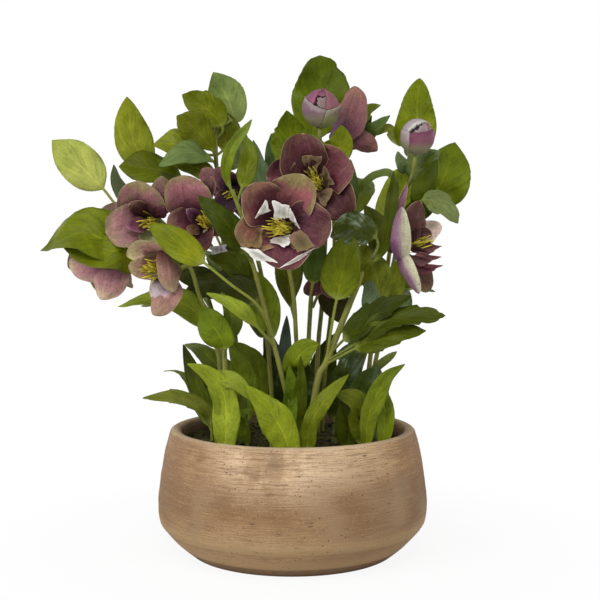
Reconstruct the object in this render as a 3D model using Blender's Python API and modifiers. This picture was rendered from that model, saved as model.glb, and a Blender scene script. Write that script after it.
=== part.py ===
"""Potted hellebore: a low round planter filled with soil, with flowering stems and leaves.

The origin is the centre of the planter's flat underside, +Z is up and -Y is the front.
Routes are written in millimetres, as points (x, y, z), and point() turns them into metres.
"""
import math

import bmesh
import bpy
import numpy as np
from mathutils import Matrix, Vector

MM = 0.001

# Driving dimensions of the holder and its filling
PLANTER_HEIGHT = 0.124
PLANTER_RADIUS = 0.135
RIM_RADIUS = 0.1235
FOOT_RADIUS = 0.102
WALL = 0.012
FLOOR = 0.014
GAP = 0.0003
SOIL_EDGE = 0.110
SOIL_CROWN = 0.114
TURN_STEPS = 48

# Driving dimensions of the plant
STEM_RADIUS = 0.0019
THICK_STEM_RADIUS = 0.0026
STEM_DEPTH = 0.092
STEM_KNEE = 0.120
STEM_POINTS = 12
LEAF_THICKNESS = 0.0012
LEAF_STALK_HALF = 0.0014
LEAF_TIP_HALF = 0.0005
LEAF_ROWS = 11
LEAF_COLUMNS = 4
PETAL_THICKNESS = 0.0014
PETALS = 5
STAMEN_RADIUS = 0.0085
STAMEN_HEIGHT = 0.014
STALK_LEAD = 0.016

# Colour and roughness of each material
LOOKS = {
    "clay": ((0.42, 0.28, 0.17), 0.75),
    "soil": ((0.035, 0.028, 0.02), 0.95),
    "stem": ((0.17, 0.22, 0.05), 0.5),
    "leaf_light": ((0.20, 0.30, 0.04), 0.45),
    "leaf_dark": ((0.05, 0.11, 0.02), 0.4),
    "leaf_blue": ((0.10, 0.17, 0.08), 0.5),
    "petal": ((0.20, 0.05, 0.08), 0.55),
    "bud": ((0.42, 0.18, 0.22), 0.55),
    "stamen": ((0.50, 0.42, 0.06), 0.6),
}

# Flowers: centre, facing direction, reach of the petals, depth of the cup, roll in degrees
FLOWERS = {
    "front": ((-13, -78, 326), (0.03, -1.0, 0.10), 43, 13, 68),
    "upper": ((22, -30, 368), (0.12, -1.0, 0.15), 42, 13, 40),
    "left": ((-137, -20, 330), (0.35, -0.85, -0.30), 31, 15, 20),
    "left_inner": ((-88, -36, 335), (0.55, -0.80, 0.05), 37, 15, 10),
    "plum": ((-57, -12, 366), (-0.25, -0.95, 0.15), 25, 10, 30),
    "left_front": ((-121, -57, 281), (-0.78, -0.58, -0.15), 34, 20, 50),
    "far_left": ((-187, -4, 283), (-0.45, 0.20, -0.85), 34, 20, 15),
    "right": ((110, -20, 306), (0.90, -0.35, -0.15), 44, 22, 90),
    "top": ((57, 28, 420), (0.86, 0.25, 0.45), 30, 26, 20),
    "low": ((34, -12, 273), (0.30, -0.70, -0.70), 22, 10, 0),
}
WITH_STAMENS = ("front", "upper", "left", "left_inner", "left_front", "right")

# Buds: foot of the bud, the way it points, length, greatest radius
BUDS = {
    "top": ((27, -22, 421), (0.05, -0.10, 1.0), 38, 19),
    "right": ((120, -20, 395), (0.10, -0.10, 1.0), 36, 17),
}

# Stems: the points that each one passes above the soil, from its foot up, and its radius.
# The foot's own height is STEM_DEPTH, down in the soil.
STEMS = {
    "far_left": ([(-69, -20), (-71, -20, 178), (-77, -20, 211), (-104, -4, 250), (-140, 6, 282)],
                 STEM_RADIUS),
    "left": ([(-67, 0), (-70, 0, 176), (-74, 0, 214), (-93, 10, 272), (-128, 20, 325)], STEM_RADIUS),
    "left_front": ([(-65, -45), (-65, -45, 177), (-68, -44, 222), (-88, -36, 252)], STEM_RADIUS),
    "left_inner": ([(-59, 15), (-61, 15, 190), (-63, 10, 241), (-76, 8, 295)], STEM_RADIUS),
    "left_leafy": ([(-54, 35), (-58, 32, 200), (-69, 25, 291), (-74, 20, 352), (-77, 15, 392),
                    (-77, 15, 428)], STEM_RADIUS),
    "plum": ([(-20, -10), (-21, -10, 160), (-26, -10, 224), (-30, -8, 272), (-44, 4, 326)],
             STEM_RADIUS),
    "long_leafy": ([(-1, -35), (-4, -35, 153), (-34, -45, 274), (-40, -48, 295), (-46, -52, 327),
                    (-57, -55, 360)], STEM_RADIUS),
    "front": ([(8, -20), (4, -20, 206), (1, -34, 258), (-6, -46, 296)], STEM_RADIUS),
    "center": ([(13, 0), (16, 0, 209), (20, 0, 284), (20, 4, 338)], STEM_RADIUS),
    "bud_top": ([(22, 15), (26, 15, 205), (30, 15, 253), (34, 14, 352), (28, -8, 397)], STEM_RADIUS),
    "top": ([(30, 31), (34, 28, 188), (42, 28, 266), (41, 32, 345), (29, 26, 388)], STEM_RADIUS),
    "main_right": ([(15, -45), (25, -48, 179), (33, -48, 195), (55, -46, 250), (73, -36, 292)],
                   THICK_STEM_RADIUS),
    "bud_right": ([(71, -15), (75, -15, 174), (80, -14, 214), (93, 0, 272), (104, 16, 337),
                   (117, -6, 371)], STEM_RADIUS),
    "right_leafy": ([(76, 5), (81, 8, 172), (88, 9, 210), (99, 16, 271), (113, 30, 342),
                     (119, 24, 403), (121, 15, 425)], STEM_RADIUS),
}
STEM_TO_FLOWER = {
    "far_left": "far_left",
    "left": "left",
    "left_front": "left_front",
    "left_inner": "left_inner",
    "plum": "plum",
    "front": "front",
    "center": "upper",
    "top": "top",
    "main_right": "right",
}
STEM_TO_BUD = {"bud_top": "top", "bud_right": "right"}

# Leaves: stem and height where the leaf grows (or its foot on the soil), the points that its
# midrib passes up to the tip, width, the way its upper face looks, share that is stalk, look
LEAVES = {
    "left_upper": (("left", 314), [(-170, 10, 341), (-190, 6, 363), (-214, 2, 388), (-240, 5, 411)],
                   44, (-0.3, -0.9, 0.4), 0.45, "leaf_light"),
    "left_lower": (("far_left", 270), [(-169, -26, 303), (-205, -34, 317), (-246, -25, 300)],
                   44, (-0.1, -0.7, 0.7), 0.25, "leaf_light"),
    "left_tall": (("left_leafy", 320), [(-100, 36, 345), (-136, 34, 372), (-153, 26, 398),
                                       (-160, 18, 425), (-163, 12, 455)],
                  37, (0.1, -1.0, 0.1), 0.55, "leaf_light"),
    "left_middle": (("left_leafy", 360), [(-100, 12, 374), (-125, 2, 384), (-150, -2, 391),
                                          (-173, 0, 388)], 32, (0.0, -0.8, 0.6), 0.4, "leaf_dark"),
    "left_blue": (("left_leafy", 380), [(-80, -8, 391), (-104, -18, 397), (-131, -18, 384)],
                  28, (0.0, -0.7, 0.7), 0.3, "leaf_blue"),
    "upper_blue": (("left_leafy", 424), [(-58, 26, 436), (-66, 34, 460), (-78, 34, 481)],
                   38, (0.2, -1.0, 0.1), 0.25, "leaf_blue"),
    "long_upright": (("long_leafy", 354), [(-63, -60, 375), (-58, -62, 398), (-38, -58, 426)],
                     15, (0.5, -0.8, 0.1), 0.15, "leaf_light"),
    "top_round": (("bud_top", 360), [(18, 34, 400), (21, 55, 432), (26, 60, 466), (26, 55, 502)],
                  54, (0.0, -1.0, 0.1), 0.3, "leaf_light"),
    "top_left": (("bud_top", 370), [(8, 22, 393), (-2, 18, 418), (-6, 10, 441)],
                 38, (0.0, -1.0, 0.2), 0.3, "leaf_light"),
    "right_top": (("right_leafy", 421), [(124, 14, 437), (124, 12, 455), (126, 10, 472)],
                  40, (0.0, -1.0, 0.1), 0.15, "leaf_light"),
    "right_light": (("right_leafy", 335), [(136, 24, 344), (152, 12, 374), (164, 5, 412)],
                    50, (0.2, -1.0, 0.1), 0.3, "leaf_light"),
    "right_narrow": (("main_right", 282), [(88, -40, 306), (95, -36, 345), (98, -34, 379)],
                     14, (0.3, -0.9, 0.0), 0.15, "leaf_dark"),
    "middle_light": (("main_right", 197), [(37, -58, 234), (42, -60, 262), (48, -64, 290),
                                           (54, -60, 316)],
                     40, (0.0, -1.0, 0.2), 0.5, "leaf_light"),
    "center_dark": (("long_leafy", 292), [(-46, -64, 303), (-64, -76, 330), (-88, -74, 354)],
                    25, (0.3, -0.9, 0.3), 0.2, "leaf_dark"),
    "notched": (("long_leafy", 218), [(-31, -68, 249), (-58, -84, 272), (-84, -92, 294),
                                      (-108, -96, 312), (-131, -94, 327)],
                27, (0.2, -0.8, 0.5), 0.6, "leaf_light"),
    "left_shade": (("plum", 262), [(-56, -22, 272), (-84, -14, 268), (-114, -12, 252)],
                   28, (0.1, -0.8, 0.6), 0.2, "leaf_dark"),
    "serrated": (("main_right", 197), [(60, -66, 214), (92, -80, 238), (143, -82, 242)],
                 36, (0.0, -0.8, 0.6), 0.3, "leaf_dark"),
    "rim_left": ((-79, -24), [(-84, -26, 140), (-112, -26, 154), (-148, -24, 152)],
                 16, (0.0, -0.5, 0.9), 0.2, "leaf_dark"),
    "foot_left": ((-64, -78), [(-63, -80, 150), (-68, -82, 178), (-84, -84, 192), (-98, -84, 190)],
                  24, (-0.2, -0.9, 0.5), 0.05, "leaf_light"),
    "foot_front": ((0, -95), [(-6, -97, 134), (-22, -98, 158), (-42, -96, 178)],
                   25, (-0.2, -0.9, 0.4), 0.05, "leaf_light"),
    "foot_middle": ((13, -84), [(18, -86, 140), (32, -86, 165), (50, -84, 186)],
                    19, (0.3, -0.9, 0.3), 0.05, "leaf_light"),
    "foot_right": ((72, -70), [(78, -72, 140), (92, -76, 170), (106, -78, 194)],
                   24, (0.2, -0.9, 0.3), 0.05, "leaf_light"),
    "back_left": ((-52, 66), [(-66, 82, 160), (-92, 108, 196), (-116, 136, 204)],
                  28, (-0.3, -0.2, 0.9), 0.1, "leaf_dark"),
    "back_right": ((48, 68), [(58, 84, 165), (80, 112, 210), (98, 140, 222)],
                   28, (0.2, -0.3, 0.9), 0.1, "leaf_light"),
    "back_upper_left": (("left_leafy", 300), [(-88, 60, 332), (-104, 92, 358), (-112, 124, 364)],
                        34, (-0.1, -0.2, 1.0), 0.3, "leaf_dark"),
    "back_upper_right": (("top", 310), [(64, 62, 344), (76, 92, 372), (82, 124, 380)],
                         36, (0.1, -0.2, 1.0), 0.3, "leaf_light"),
}


def point(values):
    """A point of the tables, in millimetres, as a vector in metres."""
    return Vector(values) * MM


def clear_scene():
    """Removes every object, so that the script can be run again."""
    for thing in list(bpy.data.objects):
        bpy.data.objects.remove(thing, do_unlink=True)


def make_collection(name):
    """A new collection under the scene's own."""
    group = bpy.data.collections.new(name)
    bpy.context.scene.collection.children.link(group)
    return group


def make_material(name, colour, roughness):
    """A Principled material of one colour."""
    material = bpy.data.materials.new(name)
    material.use_nodes = True
    shader = material.node_tree.nodes["Principled BSDF"]
    shader.inputs["Base Color"].default_value = (*colour, 1.0)
    shader.inputs["Roughness"].default_value = roughness
    shader.inputs["Metallic"].default_value = 0.0
    material.diffuse_color = (*colour, 1.0)
    return material


def add_object(name, data, group, look, location=(0, 0, 0)):
    """One named object with a material of its own, shaded smooth."""
    thing = bpy.data.objects.new(name, data)
    thing.location = location
    thing.parent = ROOT
    colour, roughness = LOOKS[look]
    data.materials.append(make_material(name + "_" + look, colour, roughness))
    group.objects.link(thing)
    return thing


def mesh_from(name, form):
    """Turns a bmesh into a smooth shaded mesh and frees it."""
    for face in form.faces:
        face.smooth = True
    mesh = bpy.data.meshes.new(name)
    form.to_mesh(mesh)
    form.free()
    return mesh


def turned_mesh(name, outline):
    """The edges of an outline in the XZ plane, ready for a Screw modifier."""
    mesh = bpy.data.meshes.new(name)
    corners = [(radius, 0.0, height) for radius, height in outline]
    edges = [(i, i + 1) for i in range(len(outline) - 1)]
    mesh.from_pydata(corners, edges, [])
    return mesh


def add_turn(thing):
    """Turns an outline once around Z into a closed skin."""
    screw = thing.modifiers.new("turn", "SCREW")
    screw.axis = "Z"
    screw.angle = math.tau
    screw.steps = TURN_STEPS
    screw.render_steps = TURN_STEPS
    screw.use_merge_vertices = True
    screw.merge_threshold = 0.00005
    screw.use_smooth_shade = True


def wall_outline():
    """Inner side of the planter's wall, from the rim down to the floor, as (radius, height)."""
    return [
        (RIM_RADIUS - WALL, PLANTER_HEIGHT - 0.005),
        (RIM_RADIUS - WALL + 0.003, SOIL_EDGE - 0.004),
        (PLANTER_RADIUS - WALL - 0.003, 0.082),
        (PLANTER_RADIUS - WALL, 0.052),
        (PLANTER_RADIUS - WALL - 0.004, 0.034),
        (FOOT_RADIUS - 0.006, FLOOR),
    ]


def build_planter(group):
    """The thick walled bowl: foot, slanted underside, bulging side and rounded rim."""
    rim_middle = RIM_RADIUS - WALL / 2
    outer = [
        (rim_middle, PLANTER_HEIGHT),
        (RIM_RADIUS - 0.002, PLANTER_HEIGHT - 0.0012),
        (RIM_RADIUS, PLANTER_HEIGHT - 0.005),
        (RIM_RADIUS + 0.0045, PLANTER_HEIGHT - 0.022),
        (PLANTER_RADIUS - 0.0035, 0.082),
        (PLANTER_RADIUS - 0.001, 0.064),
        (PLANTER_RADIUS, 0.050),
        (PLANTER_RADIUS - 0.0006, 0.038),
        (PLANTER_RADIUS - 0.0035, 0.029),
        (PLANTER_RADIUS - 0.018, 0.013),
        (FOOT_RADIUS + 0.001, 0.001),
        (FOOT_RADIUS, 0.0),
        (0.0, 0.0),
    ]
    inner = [(0.0, FLOOR)] + wall_outline()[::-1]
    lip = [(RIM_RADIUS - WALL + 0.002, PLANTER_HEIGHT - 0.0012)]
    planter = add_object("planter", turned_mesh("planter", inner + lip + outer), group, "clay")
    add_turn(planter)


def soil_height(radius):
    """Height of the soil's gently crowned surface at a distance from the middle."""
    return SOIL_CROWN - (SOIL_CROWN - SOIL_EDGE) * (radius / (RIM_RADIUS - WALL)) ** 2


def build_soil(group, cutters):
    """The filling of the planter, a gap away from its wall, with a hole around each stem."""
    edge_radius = RIM_RADIUS - WALL + 0.002 - GAP * 2
    crown = [(share * edge_radius, soil_height(share * edge_radius)) for share in (0.0, 0.35, 0.7, 1.0)]
    side = [(radius - GAP * 1.3, height) for radius, height in wall_outline()[1:-1]]
    floor = [(FOOT_RADIUS - 0.006 - GAP * 2, FLOOR + GAP), (0.0, FLOOR + GAP)]
    soil = add_object("soil", turned_mesh("soil", crown + side + floor), group, "soil")
    add_turn(soil)

    form = bmesh.new()
    for route, radius in STEMS.values():
        middle = Matrix.Translation((route[0][0] * MM, route[0][1] * MM, STEM_DEPTH + 0.02 - GAP))
        bmesh.ops.create_cone(form, cap_ends=True, segments=12, radius1=radius + 0.0005,
                              radius2=radius + 0.0005, depth=0.04, matrix=middle)
    holes = bpy.data.objects.new("stem_holes", mesh_from("stem_holes", form))
    holes.hide_render = True
    holes.display_type = "WIRE"
    holes.parent = ROOT
    cutters.objects.link(holes)
    cut = soil.modifiers.new("stem_holes", "BOOLEAN")
    cut.operation = "DIFFERENCE"
    cut.solver = "EXACT"
    cut.object = holes


def smooth_route(corners, count):
    """Evenly spaced points of the Catmull-Rom curve through the given corners."""
    fixed = np.array([tuple(corner) for corner in corners], dtype=float)
    fixed = np.vstack([2 * fixed[0] - fixed[1], fixed, 2 * fixed[-1] - fixed[-2]])
    share = np.linspace(0.0, 1.0, 16, endpoint=False)[:, None]
    spans = []
    for a, b, c, d in zip(fixed, fixed[1:], fixed[2:], fixed[3:]):
        spans.append(0.5 * (2 * b + (c - a) * share + (2 * a - 5 * b + 4 * c - d) * share ** 2
                            + (3 * b - a - 3 * c + d) * share ** 3))
    fine = np.vstack(spans + [fixed[-2:-1]])
    walked = np.concatenate([[0.0], np.cumsum(np.linalg.norm(np.diff(fine, axis=0), axis=1))])
    wanted = np.linspace(0.0, walked[-1], count)
    return [Vector([np.interp(at, walked, fine[:, axis]) for axis in range(3)]) for at in wanted]


def facing_matrix(axis, roll):
    """Rotation whose Z is the axis and whose Y is as near to upright as it can be, then rolled."""
    ahead = Vector(axis).normalized()
    side = Vector((0, 0, 1)).cross(ahead).normalized()
    upward = ahead.cross(side)
    turn = Matrix((side, upward, ahead)).transposed()
    return turn.to_4x4() @ Matrix.Rotation(math.radians(roll), 4, "Z")


def flower_foot(name):
    """Middle of the bottom of a flower's cup."""
    centre, axis, _reach, depth, _roll = FLOWERS[name]
    return point(centre) - Vector(axis).normalized() * depth * MM * 0.6


def stem_route(name):
    """Points of a stem's middle line, from its foot in the soil to its flower, bud or end."""
    corners = STEMS[name][0]
    foot_x, foot_y = corners[0]
    route = [Vector((foot_x * MM, foot_y * MM, STEM_DEPTH)), Vector((foot_x * MM, foot_y * MM, STEM_KNEE))]
    route += [point(corner) for corner in corners[1:]]
    if name in STEM_TO_FLOWER:
        flower = STEM_TO_FLOWER[name]
        ahead = Vector(FLOWERS[flower][1]).normalized()
        end = flower_foot(flower) - ahead * (PETAL_THICKNESS / 2 + GAP * 2)
        route += [end - ahead * STALK_LEAD, end]
    if name in STEM_TO_BUD:
        foot, ahead, _length, _radius = BUDS[STEM_TO_BUD[name]]
        end = point(foot) - Vector(ahead).normalized() * GAP * 3
        route += [end - Vector(ahead).normalized() * STALK_LEAD / 2, end]
    return route


def fine_stem(name):
    """The stem's middle line: a straight foot in the soil, a smooth middle and a straight end."""
    corners = stem_route(name)
    return [corners[0]] + smooth_route(corners[1:-1], STEM_POINTS) + [corners[-1]]


def build_stem(name, group):
    """A round stalk along its route, as a bevelled curve with closed ends."""
    route = fine_stem(name)
    curve = bpy.data.curves.new("stem_" + name, "CURVE")
    curve.dimensions = "3D"
    curve.bevel_depth = STEMS[name][1]
    curve.bevel_resolution = 2
    curve.use_fill_caps = True
    line = curve.splines.new("POLY")
    line.points.add(len(route) - 1)
    for spot, place in zip(line.points, route):
        spot.co = (*(place - route[0]), 1.0)
    line.use_smooth = True
    add_object("stem_" + name, curve, group, "stem", location=route[0])


def build_petals(name, group):
    """Five joined petals: a sphere flattened into a lobed cup with a thin edge."""
    _centre, axis, reach, depth, roll = FLOWERS[name]
    form = bmesh.new()
    bmesh.ops.create_uvsphere(form, u_segments=PETALS * 6, v_segments=8, radius=1.0)
    for vert in form.verts:
        share = math.hypot(vert.co.x, vert.co.y)
        angle = math.atan2(vert.co.y, vert.co.x)
        lobe = 0.72 + 0.28 * abs(math.cos(angle * PETALS / 2)) ** 0.7
        radius = reach * MM * share * (1.0 + (lobe - 1.0) * share)
        skin = math.copysign(min(1.0, abs(vert.co.z) * 2.5), vert.co.z) * PETAL_THICKNESS / 2
        height = depth * MM * share ** 1.7 + skin
        vert.co = Vector((radius * math.cos(angle), radius * math.sin(angle), height))
    petals = add_object("petals_" + name, mesh_from("petals_" + name, form), group, "petal")
    petals.matrix_local = Matrix.Translation(flower_foot(name)) @ facing_matrix(axis, roll)


def build_stamens(name, group):
    """The crowd of stamens in the cup, as one rounded tuft."""
    axis = FLOWERS[name][1]
    form = bmesh.new()
    bmesh.ops.create_uvsphere(form, u_segments=12, v_segments=6, radius=1.0)
    lift = PETAL_THICKNESS / 2 + GAP * 2 + STAMEN_HEIGHT / 2
    for vert in form.verts:
        spread = 0.75 + 0.25 * vert.co.z
        vert.co = Vector((vert.co.x * STAMEN_RADIUS * spread, vert.co.y * STAMEN_RADIUS * spread,
                          vert.co.z * STAMEN_HEIGHT / 2 + lift))
    tuft = add_object("stamens_" + name, mesh_from("stamens_" + name, form), group, "stamen")
    tuft.matrix_local = Matrix.Translation(flower_foot(name)) @ facing_matrix(axis, 0)


def build_bud(name, group):
    """A closed bud: an egg with shallow folds where its petals wrap over each other."""
    foot, axis, length, radius = BUDS[name]
    form = bmesh.new()
    bmesh.ops.create_uvsphere(form, u_segments=15, v_segments=8, radius=1.0)
    for vert in form.verts:
        angle = math.atan2(vert.co.y, vert.co.x)
        fold = 1.0 + 0.05 * math.cos(PETALS * angle)
        belly = 1.0 - 0.18 * vert.co.z
        vert.co = Vector((vert.co.x * radius * MM * fold * belly, vert.co.y * radius * MM * fold * belly,
                          (vert.co.z + 1.0) * length * MM / 2))
    bud = add_object("bud_" + name, mesh_from("bud_" + name, form), group, "bud")
    bud.matrix_local = Matrix.Translation(point(foot)) @ facing_matrix(axis, 0)


def leaf_root(origin, following):
    """Where a leaf starts: beside its stem, a gap away from it, or just over the soil."""
    if isinstance(origin[0], str):
        name, height = origin
        route = smooth_route(stem_route(name)[1:], 60)
        nearest = min(range(1, 60), key=lambda i: abs(route[i].z - height * MM))
        along = (route[nearest] - route[nearest - 1]).normalized()
        outward = following - route[nearest]
        outward = (outward - along * outward.dot(along)).normalized()
        return route[nearest] + outward * (STEMS[name][1] + LEAF_STALK_HALF + GAP * 2)
    x, y = origin[0] * MM, origin[1] * MM
    return Vector((x, y, soil_height(math.hypot(x, y)) + GAP * 2 + LEAF_THICKNESS / 2))


def half_width(share, width, stalk):
    """Half of a leaf's width at a share of its length: a narrow stalk, then a pointed oval."""
    if share <= stalk:
        return LEAF_STALK_HALF
    along = (share - stalk) / (1.0 - stalk)
    oval = math.sin(math.pi * along ** 0.85) ** 0.8 if along < 1.0 else 0.0
    least = LEAF_STALK_HALF + (LEAF_TIP_HALF - LEAF_STALK_HALF) * along
    return least + (width * MM / 2 - least) * oval


def build_leaf(name, group):
    """A thin leaf: a grid laid along the midrib, folded a little, and given its thickness."""
    origin, corners, width, face, stalk, look = LEAVES[name]
    corners = [point(corner) for corner in corners]
    root = leaf_root(origin, corners[0])
    route = smooth_route([root] + corners, LEAF_ROWS + 1)
    form = bmesh.new()
    bmesh.ops.create_grid(form, x_segments=LEAF_COLUMNS, y_segments=LEAF_ROWS, size=1.0)
    for vert in form.verts:
        across = vert.co.x
        row = round((vert.co.y + 1.0) / 2 * LEAF_ROWS)
        along = (route[min(row + 1, LEAF_ROWS)] - route[max(row - 1, 0)]).normalized()
        outward = Vector(face)
        outward = (outward - along * outward.dot(along)).normalized()
        half = half_width(row / LEAF_ROWS, width, stalk)
        fold = 0.18 * abs(across) * half
        vert.co = route[row] + along.cross(outward) * across * half + outward * fold - root
    leaf = add_object("leaf_" + name, mesh_from("leaf_" + name, form), group, look, location=root)
    solid = leaf.modifiers.new("thickness", "SOLIDIFY")
    solid.thickness = LEAF_THICKNESS
    solid.offset = 0.0


clear_scene()
PARTS = make_collection("potted_hellebore")
CUTTERS = make_collection("cutters")
ROOT = bpy.data.objects.new("plant_root", None)
PARTS.objects.link(ROOT)

build_planter(PARTS)
build_soil(PARTS, CUTTERS)
for stem in STEMS:
    build_stem(stem, PARTS)
for flower in FLOWERS:
    build_petals(flower, PARTS)
for flower in WITH_STAMENS:
    build_stamens(flower, PARTS)
for bud in BUDS:
    build_bud(bud, PARTS)
for leaf in LEAVES:
    build_leaf(leaf, PARTS)
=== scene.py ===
# %% [markdown]
# # A potted hellebore
# The real thing is a low, thick walled clay bowl filled with dark soil, out of which rise thin
# stems with plum coloured flowers, two fat buds and a crowd of olive green leaves. The solids of
# these pieces are loaded first, as a fixed frame, and every finer piece is laid over one of them,
# so nothing has to be fitted afterwards.

# %% Load the frame and measure it
import math

import bpy
import numpy as np
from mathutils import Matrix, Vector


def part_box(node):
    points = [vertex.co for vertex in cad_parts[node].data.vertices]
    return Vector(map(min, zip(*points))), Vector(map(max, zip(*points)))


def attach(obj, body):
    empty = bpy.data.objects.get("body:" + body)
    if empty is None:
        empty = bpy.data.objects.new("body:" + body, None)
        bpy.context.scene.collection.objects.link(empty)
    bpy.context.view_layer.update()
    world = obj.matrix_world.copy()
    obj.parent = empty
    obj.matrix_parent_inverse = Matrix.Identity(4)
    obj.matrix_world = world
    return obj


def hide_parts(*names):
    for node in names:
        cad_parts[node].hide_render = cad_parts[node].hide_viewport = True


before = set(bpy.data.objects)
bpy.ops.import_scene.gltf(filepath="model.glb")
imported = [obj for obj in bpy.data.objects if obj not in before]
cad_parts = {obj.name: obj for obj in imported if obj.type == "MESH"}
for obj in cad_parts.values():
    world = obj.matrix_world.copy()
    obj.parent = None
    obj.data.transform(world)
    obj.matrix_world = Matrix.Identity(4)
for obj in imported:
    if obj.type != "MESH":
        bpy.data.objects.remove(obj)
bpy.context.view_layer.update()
rim_high = np.array(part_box("planter")[1])

# %% [markdown]
# ## Routes, sheets and tubes
# Stems, petals and leaves are all thin things that follow a line. One function turns a few
# corners into an even, smooth route. The others lay a grid along such a route: as a ring
# of points for a stem, or as two skins a fraction of a millimetre apart for a leaf or a petal.
# Building them as arrays keeps every curve exact, and each skin is closed so it has a real inside.

# %% Smooth routes and their directions
MM = 0.001


def unit(vectors):
    """Vectors divided by their own length."""
    return vectors / np.maximum(np.linalg.norm(vectors, axis=-1, keepdims=True), 1e-12)


def smoothstep(value, low, high):
    """0 below low, 1 above high, and 3x squared - 2x cubed in between."""
    share = np.clip((value - low) / (high - low), 0.0, 1.0)
    return share * share * (3.0 - 2.0 * share)


def blend(first, second, share):
    """first * (1 - share) + second * share, for colours spread over a grid."""
    share = np.asarray(share)[..., None]
    return np.asarray(first) * (1.0 - share) + np.asarray(second) * share


def smooth_route(corners, count):
    """Evenly spaced points of the Catmull-Rom curve through the corners: each span blends four
    neighbouring corners with cubic weights, and the whole is walked in equal steps of length."""
    fixed = np.array(corners, dtype=float)
    fixed = np.vstack([2 * fixed[0] - fixed[1], fixed, 2 * fixed[-1] - fixed[-2]])
    a, b, c, d = fixed[:-3], fixed[1:-2], fixed[2:-1], fixed[3:]
    share = np.linspace(0.0, 1.0, 16, endpoint=False)[:, None, None]
    spans = 0.5 * (2 * b + (c - a) * share + (2 * a - 5 * b + 4 * c - d) * share ** 2
                   + (3 * b - a - 3 * c + d) * share ** 3)
    fine = np.vstack([spans.transpose(1, 0, 2).reshape(-1, 3), fixed[-2:-1]])
    walked = np.concatenate([[0.0], np.cumsum(np.linalg.norm(np.diff(fine, axis=0), axis=1))])
    wanted = np.linspace(0.0, walked[-1], count)
    return np.column_stack([np.interp(wanted, walked, fine[:, axis]) for axis in range(3)])


def ripple(points, size, seed):
    """A soft random height: the sum of sine waves of three sizes, each halved, running in random
    directions through space. Its values stay within about -1 and 1."""
    draw = np.random.default_rng(seed)
    total = np.zeros(points.shape[:-1])
    for octave in range(3):
        waves = draw.normal(size=(8, 3)) * 2 ** octave * math.pi / size
        phases = draw.uniform(0.0, 2 * math.pi, 8)
        total += np.sin(points @ waves.T + phases).sum(axis=-1) / 5.0 / 1.8 ** octave
    return total


print("a bend through three corners has", len(smooth_route([(0, 0, 0), (1, 0, 1), (3, 0, 1)], 9)), "points")

# %% Grids into closed skins
def grid_faces(rows, columns, wrap=False, flip=False):
    """Four-cornered faces between neighbouring points of a grid, numbered row by row."""
    row = np.arange(rows - 1)[:, None]
    column = np.arange(columns if wrap else columns - 1)[None, :]
    following = (column + 1) % columns
    corners = [row * columns + column, row * columns + following,
               (row + 1) * columns + following, (row + 1) * columns + column]
    faces = np.stack(corners, axis=-1).reshape(-1, 4)
    return faces[:, ::-1] if flip else faces


def sheet(upper, lower, upper_tone, lower_tone):
    """A thin closed body: an upper grid, a lower grid turned over, and a strip round the edge."""
    rows, columns = upper.shape[:2]
    count = rows * columns
    number = np.arange(count).reshape(rows, columns)
    rim = np.concatenate([number[0, :-1], number[:-1, -1], number[-1, :0:-1], number[:0:-1, 0]])
    ahead = np.roll(rim, -1)
    edge = np.stack([rim, rim + count, ahead + count, ahead], axis=-1)
    faces = np.vstack([grid_faces(rows, columns), grid_faces(rows, columns, flip=True) + count, edge])
    along, across = np.meshgrid(np.linspace(0, 1, rows), np.linspace(0, 1, columns), indexing="ij")
    place = np.stack([across, along], axis=-1).reshape(-1, 2)
    return {
        "points": np.vstack([upper.reshape(-1, 3), lower.reshape(-1, 3)]),
        "faces": faces.tolist(),
        "place": np.vstack([place, place]),
        "tone": np.vstack([upper_tone.reshape(-1, 3), lower_tone.reshape(-1, 3)]),
        "under": np.repeat([0.0, 1.0], count),
    }


def rings_skin(rings, tone):
    """A closed body from rings of points: faces between rings, and a fan to the middle of each end."""
    rows, columns = rings.shape[:2]
    here = np.arange(columns)
    after = (here + 1) % columns
    first = np.column_stack([np.full(columns, rows * columns), here, after])
    last = np.column_stack([np.full(columns, rows * columns + 1), (rows - 1) * columns + after,
                            (rows - 1) * columns + here])
    ends = np.vstack([rings[0].mean(axis=0), rings[-1].mean(axis=0)])
    along, around = np.meshgrid(np.linspace(0, 1, rows), np.linspace(0, 1, columns), indexing="ij")
    place = np.vstack([np.stack([around, along], axis=-1).reshape(-1, 2), [[0.5, 0.0], [0.5, 1.0]]])
    tone = np.broadcast_to(tone, rings.shape)
    return {
        "points": np.vstack([rings.reshape(-1, 3), ends]),
        "faces": grid_faces(rows, columns, wrap=True, flip=True).tolist() + first.tolist() + last.tolist(),
        "place": place,
        "tone": np.vstack([tone.reshape(-1, 3), tone[0].mean(axis=0), tone[-1].mean(axis=0)]),
        "under": np.zeros(rows * columns + 2),
    }


def tube(route, radii, sides, tone):
    """Rings round a route: middle + radius * (cosine * side + sine * upright), where side stands
    square to the route and to the direction in which the route bends least."""
    heading = unit(np.gradient(route, axis=0))
    flattest = np.linalg.svd(heading, full_matrices=False)[2][-1]
    side = unit(np.cross(heading, np.broadcast_to(flattest, heading.shape)))
    upright = np.cross(side, heading)
    turn = np.linspace(0.0, 2 * math.pi, sides, endpoint=False)[None, :, None]
    spread = np.cos(turn) * side[:, None] + np.sin(turn) * upright[:, None]
    rings = route[:, None] + spread * np.reshape(radii, (-1, 1, 1))
    return rings_skin(rings, tone if np.ndim(tone) < 2 else tone[:, None])


def join(forms):
    """Several bodies as one, with the faces of each counted on from the one before."""
    starts = np.cumsum([0] + [len(form["points"]) for form in forms[:-1]])
    joined = {key: np.concatenate([form[key] for form in forms])
              for key in ("points", "place", "tone", "under")}
    joined["faces"] = [[corner + int(start) for corner in face]
                       for form, start in zip(forms, starts) for face in form["faces"]]
    return joined


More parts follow.
